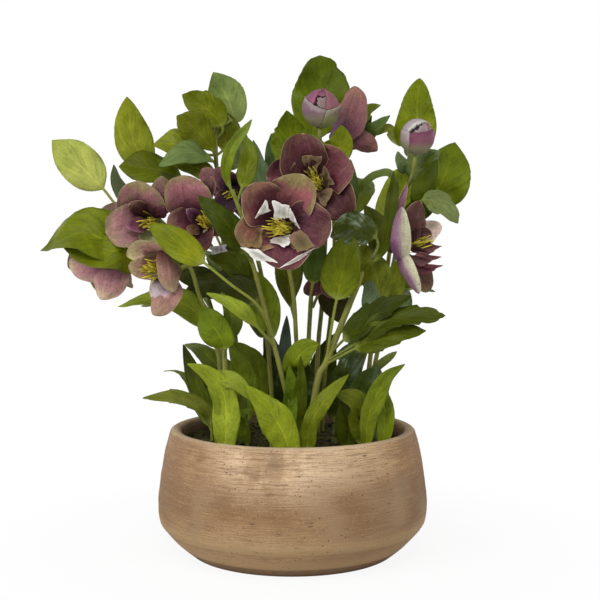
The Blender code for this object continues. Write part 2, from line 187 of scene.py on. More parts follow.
print("a 3 by 3 grid has", len(grid_faces(3, 3)), "faces")

# %% [markdown]
# ## Putting a piece in the scene
# A piece is its points and faces, a place on its own surface (its UV map), and a tone: a colour
# written for every point, so that one leaf can run from pale at its stalk to dark at its tip.
# A second value tells the upper skin from the lower one, since real leaves are greyer beneath.

# %% Colours and pieces
def linear(red, green, blue):
    """A display colour, 0 to 255, as the linear light that materials work in."""
    share = np.array([red, green, blue]) / 255.0
    return np.where(share <= 0.04045, share / 12.92, ((share + 0.055) / 1.055) ** 2.4)


def put(name, data):
    """An object with its data, in the scene."""
    thing = bpy.data.objects.new(name, data)
    bpy.context.scene.collection.objects.link(thing)
    return thing


def make_piece(name, form, material, nodes=()):
    """Puts a body into the scene as a smooth mesh, hung on the root body, and hides the parts of
    the frame that it stands for.
    """
    mesh = bpy.data.meshes.new(name)
    mesh.from_pydata(form["points"].tolist(), [], form["faces"])
    mesh.shade_smooth()
    corner = np.empty(len(mesh.loops), dtype=np.int32)
    mesh.loops.foreach_get("vertex_index", corner)
    layout = mesh.uv_layers.new(name="place")
    layout.data.foreach_set("uv", form["place"][corner].astype(np.float32).ravel())
    tone = np.column_stack([np.clip(form["tone"], 0.0, 1.0), np.ones(len(form["tone"]))])
    mesh.color_attributes.new("tone", "FLOAT_COLOR", "POINT").data.foreach_set(
        "color", tone.astype(np.float32).ravel())
    mesh.attributes.new("under", "FLOAT", "POINT").data.foreach_set(
        "value", form["under"].astype(np.float32))
    mesh.materials.append(material)
    piece = put(name, mesh)
    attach(piece, "root")
    standing_for = [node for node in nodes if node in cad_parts]
    if standing_for:
        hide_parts(*standing_for)
    return piece


print("mid grey in linear light is", linear(128, 128, 128).round(3))

# %% [markdown]
# ## Building materials
# Each finish is a node tree. The small helpers below add a node and wire it in one line, so that
# the recipe for a finish reads like a recipe. Patterns that several materials share are made
# once, as a group, and get their own strengths in each material.

# %% Helpers for node trees
def fill(tree, node, inputs):
    """Links each named input of a node to a socket, or sets its value."""
    for key, value in inputs.items():
        if isinstance(value, bpy.types.NodeSocket):
            tree.links.new(value, node.inputs[key])
        else:
            node.inputs[key].default_value = value
    return node


def add_node(tree, kind, inputs=None, **settings):
    """A node with its settings and its inputs."""
    node = tree.nodes.new(kind)
    for key, value in settings.items():
        setattr(node, key, value)
    return fill(tree, node, inputs or {})


def calculate(tree, operation, first, second=0.0):
    """A Math node's result."""
    return add_node(tree, "ShaderNodeMath", {0: first, 1: second}, operation=operation).outputs[0]


def ramp(tree, value, low, high, start=0.0, end=1.0):
    """A smooth step from start, where value is low, to end, where it is high."""
    node = add_node(tree, "ShaderNodeMapRange", {"Value": value, "From Min": low, "From Max": high,
                                                 "To Min": start, "To Max": end},
                    interpolation_type="SMOOTHSTEP")
    return node.outputs["Result"]


def times(tree, first, second):
    """The product of two values."""
    return calculate(tree, "MULTIPLY", first, second)


def mix_colour(tree, share, first, second, how="MIX"):
    """A Mix node for colours."""
    node = add_node(tree, "ShaderNodeMix", {0: share, 6: first, 7: second}, data_type="RGBA", blend_type=how)
    return node.outputs[2]


def gained(tree, skin, gains, share=1.0):
    """A colour with its red, green and blue multiplied by three gains."""
    return mix_colour(tree, share, skin, (*gains, 1.0), "MULTIPLY")


def wash(tree, skin, layers):
    """A colour with layers laid over it. A layer is a share and a display colour, or a pattern, the
    two values between which the layer fades in, its shares at both if they aren't 0 and 1, and
    its display colour."""
    for pattern, *span, colour in layers:
        share = ramp(tree, pattern, *span) if span else pattern
        skin = mix_colour(tree, share, skin, (*linear(*colour), 1.0))
    return skin


def attribute(tree, name, output):
    """A value that was written for every point."""
    return add_node(tree, "ShaderNodeAttribute", attribute_name=name).outputs[output]


def surface_place(tree):
    """The place on the piece's own surface."""
    return add_node(tree, "ShaderNodeUVMap", uv_map="place").outputs[0]


def axes(tree, vector):
    """The X, Y and Z of a vector."""
    return add_node(tree, "ShaderNodeSeparateXYZ", {0: vector}).outputs


def noise(tree, scale, detail=4.0, roughness=0.55, stretch=(1.0, 1.0, 1.0)):
    """Noise over the piece's own coordinates, squeezed along each axis by stretch."""
    place = add_node(tree, "ShaderNodeTexCoord").outputs["Object"]
    stretched = add_node(tree, "ShaderNodeMapping", {"Vector": place, "Scale": stretch}).outputs[0]
    return add_node(tree, "ShaderNodeTexNoise", {"Vector": stretched, "Scale": scale, "Detail": detail,
                                                 "Roughness": roughness}).outputs["Fac"]


def new_group(name, inputs, outputs):
    """An empty node group with named sockets, and its first and last nodes."""
    tree = bpy.data.node_groups.new(name, "ShaderNodeTree")
    for label, kind in inputs:
        tree.interface.new_socket(label, in_out="INPUT", socket_type=kind)
    for label, kind in outputs:
        tree.interface.new_socket(label, in_out="OUTPUT", socket_type=kind)
    return tree, tree.nodes.new("NodeGroupInput"), tree.nodes.new("NodeGroupOutput")


def use_group(tree, group, inputs):
    """A group placed in a material, with its own values."""
    node = tree.nodes.new("ShaderNodeGroup")
    node.node_tree = group
    return fill(tree, node, inputs)


def new_material(name, roughness, specular):
    """A plain material, with its node tree and its Principled shader."""
    material = bpy.data.materials.new(name)
    material.use_nodes = True
    tree = material.node_tree
    shader = fill(tree, tree.nodes["Principled BSDF"], {"Roughness": roughness, "Specular IOR Level": specular})
    return material, tree, shader


def finish_material(name, roughness, specular, build):
    """A Principled material. build(tree) returns its colour and its height and, where it varies
    over the surface, its roughness; strength and distance of the bump come with the height."""
    material, tree, shader = new_material(name, roughness, specular)
    made = build(tree)
    bump = add_node(tree, "ShaderNodeBump", {"Height": made["height"], "Strength": made["strength"],
                                             "Distance": made["distance"]})
    fill(tree, shader, {"Base Color": made["colour"], "Roughness": made.get("roughness", roughness),
                        "Normal": bump.outputs[0]})
    return material


print("helpers ready")

# %% [markdown]
# ## Shared patterns
# Leaves, petals and stems are all blotchy in the same way: soft darker and lighter clouds, with
# finer grain inside them. This group lays both over any colour.

# %% The mottle group
mottle, start, end = new_group("mottle", [("Colour", "NodeSocketColor"), ("Clouds", "NodeSocketFloat"),
                                          ("Grain", "NodeSocketFloat")],
                               [("Colour", "NodeSocketColor"), ("Height", "NodeSocketFloat")])
clouds = noise(mottle, 55.0, 3.0)
grain = noise(mottle, 420.0, 3.0, 0.6)
cloud_gain = times(mottle, calculate(mottle, "SUBTRACT", clouds, 0.5), start.outputs["Clouds"])
grain_gain = times(mottle, calculate(mottle, "SUBTRACT", grain, 0.5), start.outputs["Grain"])
gain = calculate(mottle, "ADD", calculate(mottle, "ADD", cloud_gain, grain_gain), 1.0)
scaled = add_node(mottle, "ShaderNodeVectorMath", {0: start.outputs["Colour"], "Scale": gain},
                  operation="SCALE")
mottle.links.new(scaled.outputs[0], end.inputs["Colour"])
mottle.links.new(grain, end.inputs["Height"])


def blotched(tree, clouds, grain):
    """The tone of each point with clouds and grain laid over it: its colour and its height."""
    return use_group(tree, mottle, {"Colour": attribute(tree, "tone", "Color"), "Clouds": clouds,
                                    "Grain": grain}).outputs


print("mottle reads", [socket.name for socket in mottle.interface.items_tree])

# %% [markdown]
# ## Leaf skin
# A hellebore leaf is leathery: a pale midrib, side veins that leave it at a slant and fade before
# the edge, a satin gloss above and a dull, greyer green beneath. The veins are drawn from the
# leaf's own place map, across from edge to edge and along from stalk to tip, so they follow every
# bend of the leaf.

# %% The vein group
VEIN_PAIRS, VEIN_SLANT = 9.0, 2.6
veins, start, end = new_group("veins", [("Pairs", "NodeSocketFloat"), ("Slant", "NodeSocketFloat")],
                              [("Mask", "NodeSocketFloat"), ("Middle", "NodeSocketFloat"),
                               ("Feather", "NodeSocketFloat")])
split = axes(veins, surface_place(veins))
wobble = times(veins, calculate(veins, "SUBTRACT", noise(veins, 60.0, 2.0), 0.5), 0.5)
off_middle = times(veins, calculate(veins, "ABSOLUTE", calculate(veins, "SUBTRACT", split["X"], 0.5)), 2.0)
slanted = times(veins, off_middle, start.outputs["Slant"])
along = times(veins, split["Y"], start.outputs["Pairs"])
phase = calculate(veins, "ADD", calculate(veins, "SUBTRACT", along, slanted), wobble)
nearest = calculate(veins, "PINGPONG", phase, 0.5)
side_vein = times(veins, ramp(veins, nearest, 0.0, 0.075, 1.0, 0.0),
                  ramp(veins, off_middle, 0.15, 0.95, 1.0, 0.0))
middle_vein = ramp(veins, off_middle, 0.015, 0.065, 1.0, 0.0)
veins.links.new(calculate(veins, "MAXIMUM", side_vein, middle_vein), end.inputs["Mask"])
veins.links.new(middle_vein, end.inputs["Middle"])
half_side = ramp(veins, split["X"], 0.49, 0.51, 0.0, 7.0)
slanting = add_node(veins, "ShaderNodeCombineXYZ", {0: times(veins, phase, 2.2),
                                                    1: times(veins, off_middle, 1.3), 2: half_side})
blurred = add_node(veins, "ShaderNodeTexNoise", {"Vector": slanting.outputs[0], "Scale": 1.0, "Detail": 4.0,
                                                 "Roughness": 0.6}).outputs["Fac"]
veins.links.new(blurred, end.inputs["Feather"])
print("veins made with", len(veins.nodes), "nodes")


# %% Leaf and stem materials
def leaf_finish(tree):
    """Tone of each point, cloudy with yellower and darker patches, with fine pale freckles; paler
    along the veins, most of all by the stalk; greyer and flatter beneath; and on glossy blades,
    pale patches of painted sheen."""
    under = attribute(tree, "under", "Fac")
    along = axes(tree, surface_place(tree))["Y"]
    vein = use_group(tree, veins, {"Pairs": VEIN_PAIRS, "Slant": VEIN_SLANT}).outputs
    mottled = blotched(tree, 0.7, 0.6)
    plain, feather = mottled["Colour"], vein["Feather"]
    lighter = mix_colour(tree, ramp(tree, feather, 0.50, 0.72), plain,
                         gained(tree, plain, (1.2, 1.14, 0.95)))
    patched = mix_colour(tree, ramp(tree, feather, 0.50, 0.30), lighter,
                         gained(tree, plain, (0.64, 0.70, 0.55)))
    freckle = ramp(tree, noise(tree, 1100.0, 2.0), 0.62, 0.74, 0.0, 0.45)
    freckled = mix_colour(tree, freckle, patched, gained(tree, patched, (1.9, 1.8, 2.2)))
    fade = ramp(tree, along, 0.45, 0.95, 1.0, 0.25)
    vein_share = times(tree, times(tree, vein["Mask"], 0.32), fade)
    midrib = times(tree, times(tree, vein["Middle"], 0.55), fade)
    veined = mix_colour(tree, calculate(tree, "MAXIMUM", vein_share, midrib), freckled,
                        gained(tree, freckled, (2.0, 1.75, 2.0)))
    gleam = times(tree, ramp(tree, noise(tree, 55.0, 3.0), 0.48, 0.66),
                  ramp(tree, feather, 0.40, 0.60, 0.25, 1.0))
    # Painted sheen: pale patches on the upper face of glossy blades, whose under value is below nought.
    painted_sheen = times(tree, ramp(tree, under, -0.2, -0.5, 0.0, 0.55), gleam)
    roughness = calculate(tree, "ADD", times(tree, under, 0.22), times(tree, mottled["Height"], 0.3))
    height = calculate(tree, "SUBTRACT", times(tree, mottled["Height"], 0.35), vein["Mask"])
    height = calculate(tree, "ADD", height, times(tree, feather, 1.2))
    return {"colour": wash(tree, veined, [(painted_sheen, (146, 160, 140))]), "height": height, "strength": 0.5,
            "distance": 0.0007, "roughness": calculate(tree, "ADD", roughness, 0.25)}


def stem_finish(tree):
    """Green skin with fine lengthwise streaks and reddish patches."""
    mottled = blotched(tree, 0.5, 0.6)
    streak = noise(tree, 300.0, 3.0, stretch=(1.0, 1.0, 0.06))
    flush = ramp(tree, noise(tree, 22.0, 2.0, stretch=(1.0, 1.0, 0.35)), 0.52, 0.72)
    streaked = wash(tree, mottled["Colour"], [(times(tree, flush, 0.3), (104, 66, 42)),
                                              (streak, 0.45, 0.75, 0.0, 0.3, (150, 148, 82))])
    return {"colour": streaked, "height": streak, "strength": 0.3, "distance": 0.0004}


leaf_material = finish_material("leaf_skin", 0.4, 0.1, leaf_finish)
stem_material = finish_material("stem_skin", 0.48, 0.25, stem_finish)
print("leaf and stem skins made")

# %% [markdown]
# ## Petal skin
# The petals are dusty plum with fine veins that fan out from the claw, tiny darker freckles and a
# matt, faintly downy face. The colour of each petal, from dark heart to olive rim, is written
# point by point when it is made; the veins and freckles come from nodes.

# %% Petal and stamen materials
def petal_finish(tree):
    """Tone of each point with streaks along the petal, and dark and pale freckles across it."""
    fanned = add_node(tree, "ShaderNodeMapping", {"Vector": surface_place(tree), "Scale": (26.0, 2.2, 1.0)})
    streak = add_node(tree, "ShaderNodeTexNoise", {"Vector": fanned.outputs[0], "Scale": 1.0, "Detail": 3.0,
                                                   "Roughness": 0.6}).outputs["Fac"]
    mottled = blotched(tree, 0.7, 0.9)
    speckle = noise(tree, 850.0, 2.0, 0.6)
    freckled = wash(tree, mottled["Colour"], [
        (streak, 0.5, 0.68, 0.0, 0.26, (62, 24, 34)), (streak, 0.3, 0.48, 0.10, 0.0, (188, 140, 132)),
        (speckle, 0.56, 0.70, 0.0, 0.5, (62, 24, 34)), (speckle, 0.30, 0.42, 0.14, 0.0, (206, 150, 156))])
    return {"colour": freckled, "height": streak, "strength": 0.35, "distance": 0.0004}


def tuft_finish(tree):
    """Plain tone with a fine grain, for stamens, nectaries and buds."""
    mottled = blotched(tree, 0.3, 0.5)
    return {"colour": mottled["Colour"], "height": mottled["Height"], "strength": 0.25, "distance": 0.0003}


petal_material = finish_material("petal_skin", 0.6, 0.18, petal_finish)
tuft_material = finish_material("tuft_skin", 0.6, 0.18, tuft_finish)
bud_material = finish_material("bud_skin", 0.55, 0.2, tuft_finish)
print("petal skins made")

# %% [markdown]
# ## Brushed clay and soil
# The bowl looks like clay that was brushed round and round while it turned: long, fine, level
# streaks in several browns, soft smudges, scattered pinholes and a few short cracks, with a paler
# rim top. A highlight under the rim, light low on the left, a lighter upper part and shade on the
# flanks and on the inner wall are painted into the colour. Noise squeezed along the height makes
# the streaks, and thresholds on finer noise make the holes.

# %% Clay and soil materials
PLANTER_HEIGHT = 0.124
PLANTER_RADIUS = 0.135
RIM_RADIUS = 0.1235
FOOT_RADIUS = 0.102
WALL = 0.012
MOUTH = RIM_RADIUS - WALL
HOLLOW = PLANTER_RADIUS - WALL
FLOOR = 0.014
SOIL_EDGE = 0.110
SOIL_CROWN = 0.114


def clay_finish(tree):
    """Fine level lines, a reddish belt, smudges, a painted highlight under the rim, painted light
    low on the left, a pale crest over the low edge, painted shade on the flanks and on the inner
    wall, a painted lighter upper part, a paler rim top, pinholes and short cracks."""
    place = add_node(tree, "ShaderNodeTexCoord").outputs["Object"]
    x, height = axes(tree, place)["X"], axes(tree, place)["Z"]
    aside = calculate(tree, "ABSOLUTE", calculate(tree, "ADD", x, 0.004))
    flat = add_node(tree, "ShaderNodeVectorMath", {0: place, 1: (1.0, 1.0, 0.0)}, operation="MULTIPLY")
    radius = add_node(tree, "ShaderNodeVectorMath", {0: flat.outputs[0]}, operation="LENGTH").outputs["Value"]
    lines = noise(tree, 30.0, 4.0, 0.75, stretch=(1.0, 1.0, 30.0))
    dashes = noise(tree, 60.0, 3.0, 0.7, stretch=(1.0, 1.0, 16.0))
    bands = noise(tree, 6.0, 5.0, 0.75, stretch=(1.0, 1.0, 20.0))
    smudge = noise(tree, 34.0, 4.0, 0.6)
    patches = noise(tree, 20.0, 5.0, 0.6)
    grain = noise(tree, 620.0, 3.0, 0.7, stretch=(1.0, 1.0, 2.0))
    wide = noise(tree, 9.0, 2.0, 0.5)
    belt = times(tree, ramp(tree, height, 0.035, 0.06, 0.0, 0.75), ramp(tree, height, 0.075, 0.11, 1.0, 0.1))
    # Painted highlight: a pale patch below the rim, around the middle as seen from the front.
    painted_highlight = times(tree, ramp(tree, height, 0.058, 0.108, 0.0, 0.8), ramp(tree, aside, 0.0, 0.13, 1.0, 0.0))
    painted_highlight = times(tree, painted_highlight, ramp(tree, patches, 0.36, 0.56, 0.35, 1.0))
    # Painted light: a paler patch low on the left side.
    painted_light_low_left = times(tree, ramp(tree, x, 0.04, -0.02, 0.0, 0.4), ramp(tree, height, 0.066, 0.045))
    painted_light_low_left = times(tree, painted_light_low_left, ramp(tree, x, -0.125, -0.09))
    # Painted shade: the right side below the rim and the upper part of the left flank are darkened.
    painted_flank_shade = times(tree, ramp(tree, x, -0.01, 0.06, 0.0, 0.75), ramp(tree, height, 0.104, 0.076))
    painted_flank_shade = calculate(tree, "MAXIMUM", painted_flank_shade, times(tree, ramp(tree, x, -0.05, -0.10, 0.0, 0.55),
                                                      ramp(tree, height, 0.04, 0.065)))
    crest = times(tree, ramp(tree, height, 0.024, 0.030), ramp(tree, height, 0.031, 0.045, 0.5, 0.0))
    # Painted shade on the inner wall below the rim, darker further down.
    inner_wall_shade = times(tree, ramp(tree, radius, MOUTH, MOUTH + 0.004, 0.75, 0.0),
                 ramp(tree, height, 0.105, rim_high[2], 1.0, 0.5))
    cells = add_node(tree, "ShaderNodeTexVoronoi", {"Vector": place, "Scale": 190.0})
    sparse = ramp(tree, noise(tree, 40.0, 2.0), 0.43, 0.52)
    pin = times(tree, ramp(tree, cells.outputs["Distance"], 0.08, 0.17, 1.0, 0.0), sparse)
    crack_noise = noise(tree, 70.0, 2.0, 0.5, stretch=(1.0, 1.0, 6.0))
    crack = times(tree, ramp(tree, crack_noise, 0.71, 0.74), ramp(tree, smudge, 0.42, 0.55))
    pits = calculate(tree, "MAXIMUM", pin, crack)
    skin = wash(tree, (*linear(122, 90, 55), 1.0), [
        (bands, 0.32, 0.68, (145, 111, 70)), (times(tree, belt, ramp(tree, wide, 0.35, 0.6)), (138, 98, 64)),
        (patches, 0.52, 0.68, 0.0, 0.65, (166, 134, 95)), (patches, 0.48, 0.34, 0.0, 0.6, (112, 80, 48))])
    skin = wash(tree, gained(tree, skin, (0.78, 0.72, 0.58), belt), [
        (painted_highlight, (236, 210, 178)), (painted_light_low_left, (188, 158, 120)), (painted_flank_shade, (104, 70, 41)),
        (lines, 0.46, 0.62, 0.0, 0.6, (104, 70, 42)), (lines, 0.36, 0.48, 0.3, 0.0, (180, 152, 110)),
        (dashes, 0.56, 0.66, 0.0, 0.7, (88, 60, 38)), (grain, 0.50, 0.66, 0.0, 0.45, (92, 64, 42)),
        (grain, 0.46, 0.32, 0.0, 0.4, (192, 158, 116))])
    # Painted light: the upper part is made lighter from about 75 mm up.
    skin = wash(tree, gained(tree, skin, (1.16, 1.15, 1.12), ramp(tree, height, 0.074, 0.100)), [
        (smudge, 0.54, 0.72, 0.0, 0.55, (106, 82, 58)), (wide, 0.52, 0.7, 0.0, 0.4, (172, 148, 118)),
        (height, rim_high[2] - 0.0025, rim_high[2] - 0.0005, 0.0, 0.5, (188, 170, 142)),
        (crest, (176, 149, 106)), (height, 0.004, 0.034, 0.9, 0.15, (170, 139, 98)),
        (inner_wall_shade, (104, 78, 54)), (times(tree, pits, 0.8), (58, 38, 26))])
    relief = calculate(tree, "SUBTRACT", times(tree, lines, 0.6), pits)
    return {"colour": skin, "height": relief, "strength": 0.4, "distance": 0.0006}


def soil_finish(tree):
    """Tone of each point with brown flecks, and painted shade that makes the hollows nearly black."""
    coarse = noise(tree, 160.0, 5.0, 0.7)
    # The low places of the bumps are darkened nearly to black: painted shade in the hollows.
    shaded = wash(tree, attribute(tree, "tone", "Color"), [(coarse, 0.55, 0.75, 0.0, 0.5, (92, 74, 50)),
                                                           (coarse, 0.5, 0.3, 0.0, 0.7, (18, 15, 10))])
    return {"colour": shaded, "height": coarse, "strength": 0.9, "distance": 0.002}


clay_material = finish_material("brushed_clay", 0.74, 0.42, clay_finish)
soil_material = finish_material("dark_soil", 0.95, 0.2, soil_finish)
print("clay and soil made")

# %% [markdown]
# ## The planter
# One turned outline makes the whole bowl. It goes from the middle of the floor up the inside,
# over the rounded rim, down the bulging side, round the low edge and under to the flat foot. A
# slight unevenness, a quarter of a millimetre, takes away the machined look of a perfect turning.

# %% Turned pieces
def turned(outline, columns):
    """Rings of an outline turned about Z: (radius * cosine, radius * sine, height)."""
    turn = np.linspace(0.0, 2 * math.pi, columns, endpoint=False)
    radius, height = outline[:, 0:1], outline[:, 1:2]
    return np.stack([radius * np.cos(turn), radius * np.sin(turn), height + 0 * turn], axis=-1)


def outline_through(corners, count):
    """A smooth outline in the plane of radius and height."""
    return smooth_route([(radius, 0.0, height) for radius, height in corners], count)[:, [0, 2]]


inside = outline_through([
    (0.004, FLOOR), (0.06, FLOOR), (FOOT_RADIUS - 0.008, FLOOR + 0.001), (HOLLOW - 0.004, 0.034),
    (HOLLOW, 0.052), (HOLLOW - 0.003, 0.082), (MOUTH + 0.003, SOIL_EDGE - 0.004),
    (MOUTH, PLANTER_HEIGHT - 0.005), (MOUTH + 0.0015, PLANTER_HEIGHT - 0.0015),
    (RIM_RADIUS - WALL / 2, PLANTER_HEIGHT), (RIM_RADIUS - 0.002, PLANTER_HEIGHT - 0.0013),
    (RIM_RADIUS, PLANTER_HEIGHT - 0.005), (RIM_RADIUS + 0.0045, PLANTER_HEIGHT - 0.022),
    (PLANTER_RADIUS - 0.0035, 0.082), (PLANTER_RADIUS - 0.001, 0.064), (PLANTER_RADIUS, 0.050),
    (PLANTER_RADIUS - 0.0006, 0.038), (PLANTER_RADIUS - 0.0037, 0.0288),
    (PLANTER_RADIUS - 0.018, 0.0125), (FOOT_RADIUS + 0.001, 0.0006)], 180)
underneath = np.column_stack([np.linspace(FOOT_RADIUS, 0.004, 12), np.zeros(12)])
BOWL_SIDES = 270
bowl = turned(np.vstack([inside, underneath]), BOWL_SIDES)
lift = ripple(bowl * [1, 1, 3], 0.05, 4) * 0.00022 + ripple(bowl * [1, 1, 9], 0.012, 5) * 0.00008
outward = unit(bowl * [1.0, 1.0, 0.0])
bowl = bowl + outward * (lift * smoothstep(bowl[..., 2], 0.001, 0.006))[..., None]
make_piece("planter_bowl", rings_skin(bowl, linear(170, 138, 104)), clay_material, ["planter"])
print("planter rings", bowl.shape[:2])

# %% [markdown]
# ## Soil
# The filling is a shallow crumbly mound a little below the rim. Its surface is a turned sheet
# pushed up and down by ripples of several sizes; loose crumbs and short curls of moss lie on it,
# since at this scale that litter is what makes soil look like soil.

# %% Soil, crumbs and moss
def soil_height(radius):
    """Height of the crowned surface: crown less a square of the share of the way to the wall."""
    return SOIL_CROWN - (SOIL_CROWN - SOIL_EDGE) * (radius / MOUTH) ** 2


def soil_bumps(points):
    """Height of the lumps on the soil at given points."""
    flat = points * [1.0, 1.0, 0.0]
    return ripple(flat, 0.03, 11) * 0.0012 + ripple(flat, 0.009, 12) * 0.0009


SURFACE_ROWS = 90
surface_radius = np.linspace(0.002, MOUTH + 0.0014, SURFACE_ROWS)
surface = np.column_stack([surface_radius, soil_height(surface_radius)])
wall_side = outline_through([(0.1146, 0.104), (HOLLOW - 0.0035, 0.082), (HOLLOW - 0.0006, 0.052),
                             (HOLLOW - 0.0046, 0.034), (0.0955, FLOOR + 0.0006)], 24)
soil_floor = np.column_stack([np.linspace(0.09, 0.002, 6), np.full(6, FLOOR + 0.0006)])
SOIL_SIDES = 240
mound = turned(np.vstack([surface, wall_side, soil_floor]), SOIL_SIDES)
mound[:SURFACE_ROWS - 1, :, 2] += soil_bumps(mound[:SURFACE_ROWS - 1])
moss_share = smoothstep(ripple(mound * [1, 1, 0], 0.035, 13), -0.1, 0.7)
soil_tone = blend(linear(46, 41, 18), linear(74, 76, 26), moss_share)
make_piece("soil_mound", rings_skin(mound, soil_tone), soil_material, ["soil"])

draw = np.random.default_rng(21)
CRUMBS, CRUMB_SIZES = 420, (0.0008, 0.0026)


def litter_places(count, lift):
    """Random places on the soil, each raised by lift over its lumps."""
    radius = (MOUTH - 0.004) * np.sqrt(draw.uniform(0.0, 1.0, count))
    turn = draw.uniform(0.0, 2 * math.pi, count)
    flat = np.column_stack([radius * np.cos(turn), radius * np.sin(turn), np.zeros(count)])
    flat[:, 2] = soil_height(radius) + soil_bumps(flat) + lift
    return flat


def crumb(middle, size):
    """A lump of few faces: rings of a ball, each point moved in or out at random."""
    polar = np.linspace(0.35, math.pi - 0.35, 4)[:, None]
    ball = turned(np.hstack([np.sin(polar), -np.cos(polar)]), 6)
    ball = ball[::-1] * draw.uniform(0.6, 1.25, ball.shape[:2])[..., None] * [1.0, 1.0, 0.7]
    brown = blend(linear(30, 26, 14), linear(82, 68, 36), draw.uniform() ** 2)
    return rings_skin(middle + ball * size, brown)


crumbs = [crumb(middle, size) for middle, size in
          zip(litter_places(CRUMBS, 0.0004), draw.uniform(*CRUMB_SIZES, CRUMBS))]
make_piece("soil_crumbs", join(crumbs), soil_material)

MOSS = 520


def moss_curl(foot):
    """A short thread that rises, leans over and curls round."""
    turn = draw.uniform(0.0, 2 * math.pi)
    reach = draw.uniform(0.003, 0.0075)
    lean = np.array([math.cos(turn), math.sin(turn), 0.0])
    side = np.array([-lean[1], lean[0], 0.0]) * draw.uniform(-0.6, 0.6)
    share = np.linspace(0.0, 1.0, 5)[:, None]
    rise = np.array([0.0, 0.0, 1.0]) * (np.sin(share * 2.4) * draw.uniform(0.25, 0.6))
    route = foot + reach * (lean * share + side * share ** 2 + rise)
    green = blend(linear(58, 60, 18), linear(112, 114, 42), draw.uniform())
    return tube(route, np.array([0.00028, 0.00032, 0.0003, 0.00026, 0.00012]), 4, green)


moss = [moss_curl(foot) for foot in litter_places(MOSS, 0.0)]
make_piece("soil_moss", join(moss), soil_material)
print(CRUMBS, "crumbs and", MOSS, "curls of moss")

# %% [markdown]
# ## Where the stems and flowers stand
# The plant was laid out stem by stem. Each stem starts in the soil and passes a few
# points on its way up; the flowers and buds at the ends have a middle and a direction they look
# in. All values are in millimetres, and they are the same ones that the solids were made from.
# The long lists are written as tables: each line is a row, bars part its cells, and commas part
# the places or colours in a cell. A backslash carries a long row on to the next line.

# %% Reading a table
def numbers(text):
    """The numbers of a text."""
    return tuple(float(word) for word in text.split())


def groups(text):
    """The numbers between the commas of a text."""
    return [numbers(part) for part in text.split(",")]


def places(text):
    """Places given in millimetres, as an array in metres."""
    return np.array(groups(text)) * MM


def tones(text):
    """Display colours, in linear light."""
    return [linear(*colour) for colour in groups(text)]


def table(text):
    """The rows of a table, each as a list of its cells."""
    return [[cell.strip() for cell in line.split("|")] for line in text.strip().splitlines()]


print("a row reads as", table("far_left | 1 2, 3 4")[0], "and a cell as", groups("1 2, 3 4"))

# %% Flowers, buds and stems in millimetres
# middle, the way the flower looks, reach and depth
FLOWERS = {
    "front": ((-13, -78, 326), (0.03, -1.0, 0.10), 43, 13),
    "upper": ((22, -30, 368), (0.12, -1.0, 0.15), 42, 13),
    "left": ((-137, -20, 330), (0.35, -0.85, -0.30), 31, 15),
    "left_inner": ((-88, -36, 335), (0.55, -0.80, 0.05), 37, 15),
    "plum": ((-57, -12, 366), (-0.25, -0.95, 0.15), 25, 10),
    "left_front": ((-121, -57, 281), (-0.78, -0.58, -0.15), 34, 20),
    "far_left": ((-187, -4, 283), (-0.45, 0.20, -0.85), 34, 20),
    "right": ((110, -20, 306), (0.90, -0.35, -0.15), 44, 22),
    "top": ((57, 28, 420), (0.86, 0.25, 0.45), 30, 26),
    "low": ((34, -12, 273), (0.30, -0.70, -0.70), 22, 10),
}
# foot, direction, length and radius
BUDS = {
    "top": ((27, -22, 421), (0.05, -0.10, 1.0), 38, 19),
    "right": ((120, -20, 395), (0.10, -0.10, 1.0), 36, 17),
}
# name | place of the foot | corners on the way up | radius
STEMS = {name: (places(corners), places(foot)[0], float(radius)) for name, foot, corners, radius in table("""
far_left | -69 -20 | -71 -20 178, -77 -20 211, -104 -4 250, -140 6 282 | 1.9
left | -67 0 | -70 0 176, -74 0 214, -93 10 272, -128 20 325 | 1.9
left_front | -65 -45 | -65 -45 177, -68 -44 222, -88 -36 252 | 1.9
left_inner | -59 15 | -61 15 190, -63 10 241, -76 8 295 | 1.9
left_leafy | -54 35 | -58 32 200, -69 25 291, -74 20 352, -77 15 392, -77 15 428 | 1.9
plum | -20 -10 | -21 -10 160, -26 -10 224, -30 -8 272, -44 4 326 | 1.9
long_leafy | -1 -35 | -4 -35 153, -34 -45 274, -40 -48 295, -46 -52 327, -57 -55 360 | 1.9
front | 8 -20 | 4 -20 206, 1 -34 258, -6 -46 296 | 1.9
center | 13 0 | 16 0 209, 20 0 284, 20 4 338 | 1.9
bud_top | 22 15 | 26 15 205, 30 15 253, 34 14 352, 28 -8 397 | 1.9
top | 30 31 | 34 28 188, 42 28 266, 41 32 345, 29 26 388 | 1.9
main_right | 15 -45 | 25 -48 179, 33 -48 195, 55 -46 250, 73 -36 292 | 2.6
bud_right | 71 -15 | 75 -15 174, 80 -14 214, 93 0 272, 104 16 337, 117 -6 371 | 1.9
right_leafy | 76 5 | 81 8 172, 88 9 210, 99 16 271, 113 30 342, 119 24 403, 121 15 425 | 1.9
""")}
STEM_TO_FLOWER = {
    "far_left": "far_left", "left": "left", "left_front": "left_front", "left_inner": "left_inner",
    "plum": "plum", "front": "front", "center": "upper", "top": "top", "main_right": "right",
}
STEM_TO_BUD = {"bud_top": "top", "bud_right": "right"}
STEM_DEPTH = 0.092
STEM_KNEE = 0.120
STRAIGHT_TO_FLOWER, STRAIGHT_TO_BUD = 0.016, 0.008


def flower_foot(name):
    """Middle of the bottom of a flower's cup."""
    centre, axis, _reach, depth = FLOWERS[name]
    return np.array(centre) * MM - unit(np.array(axis)) * depth * MM * 0.6


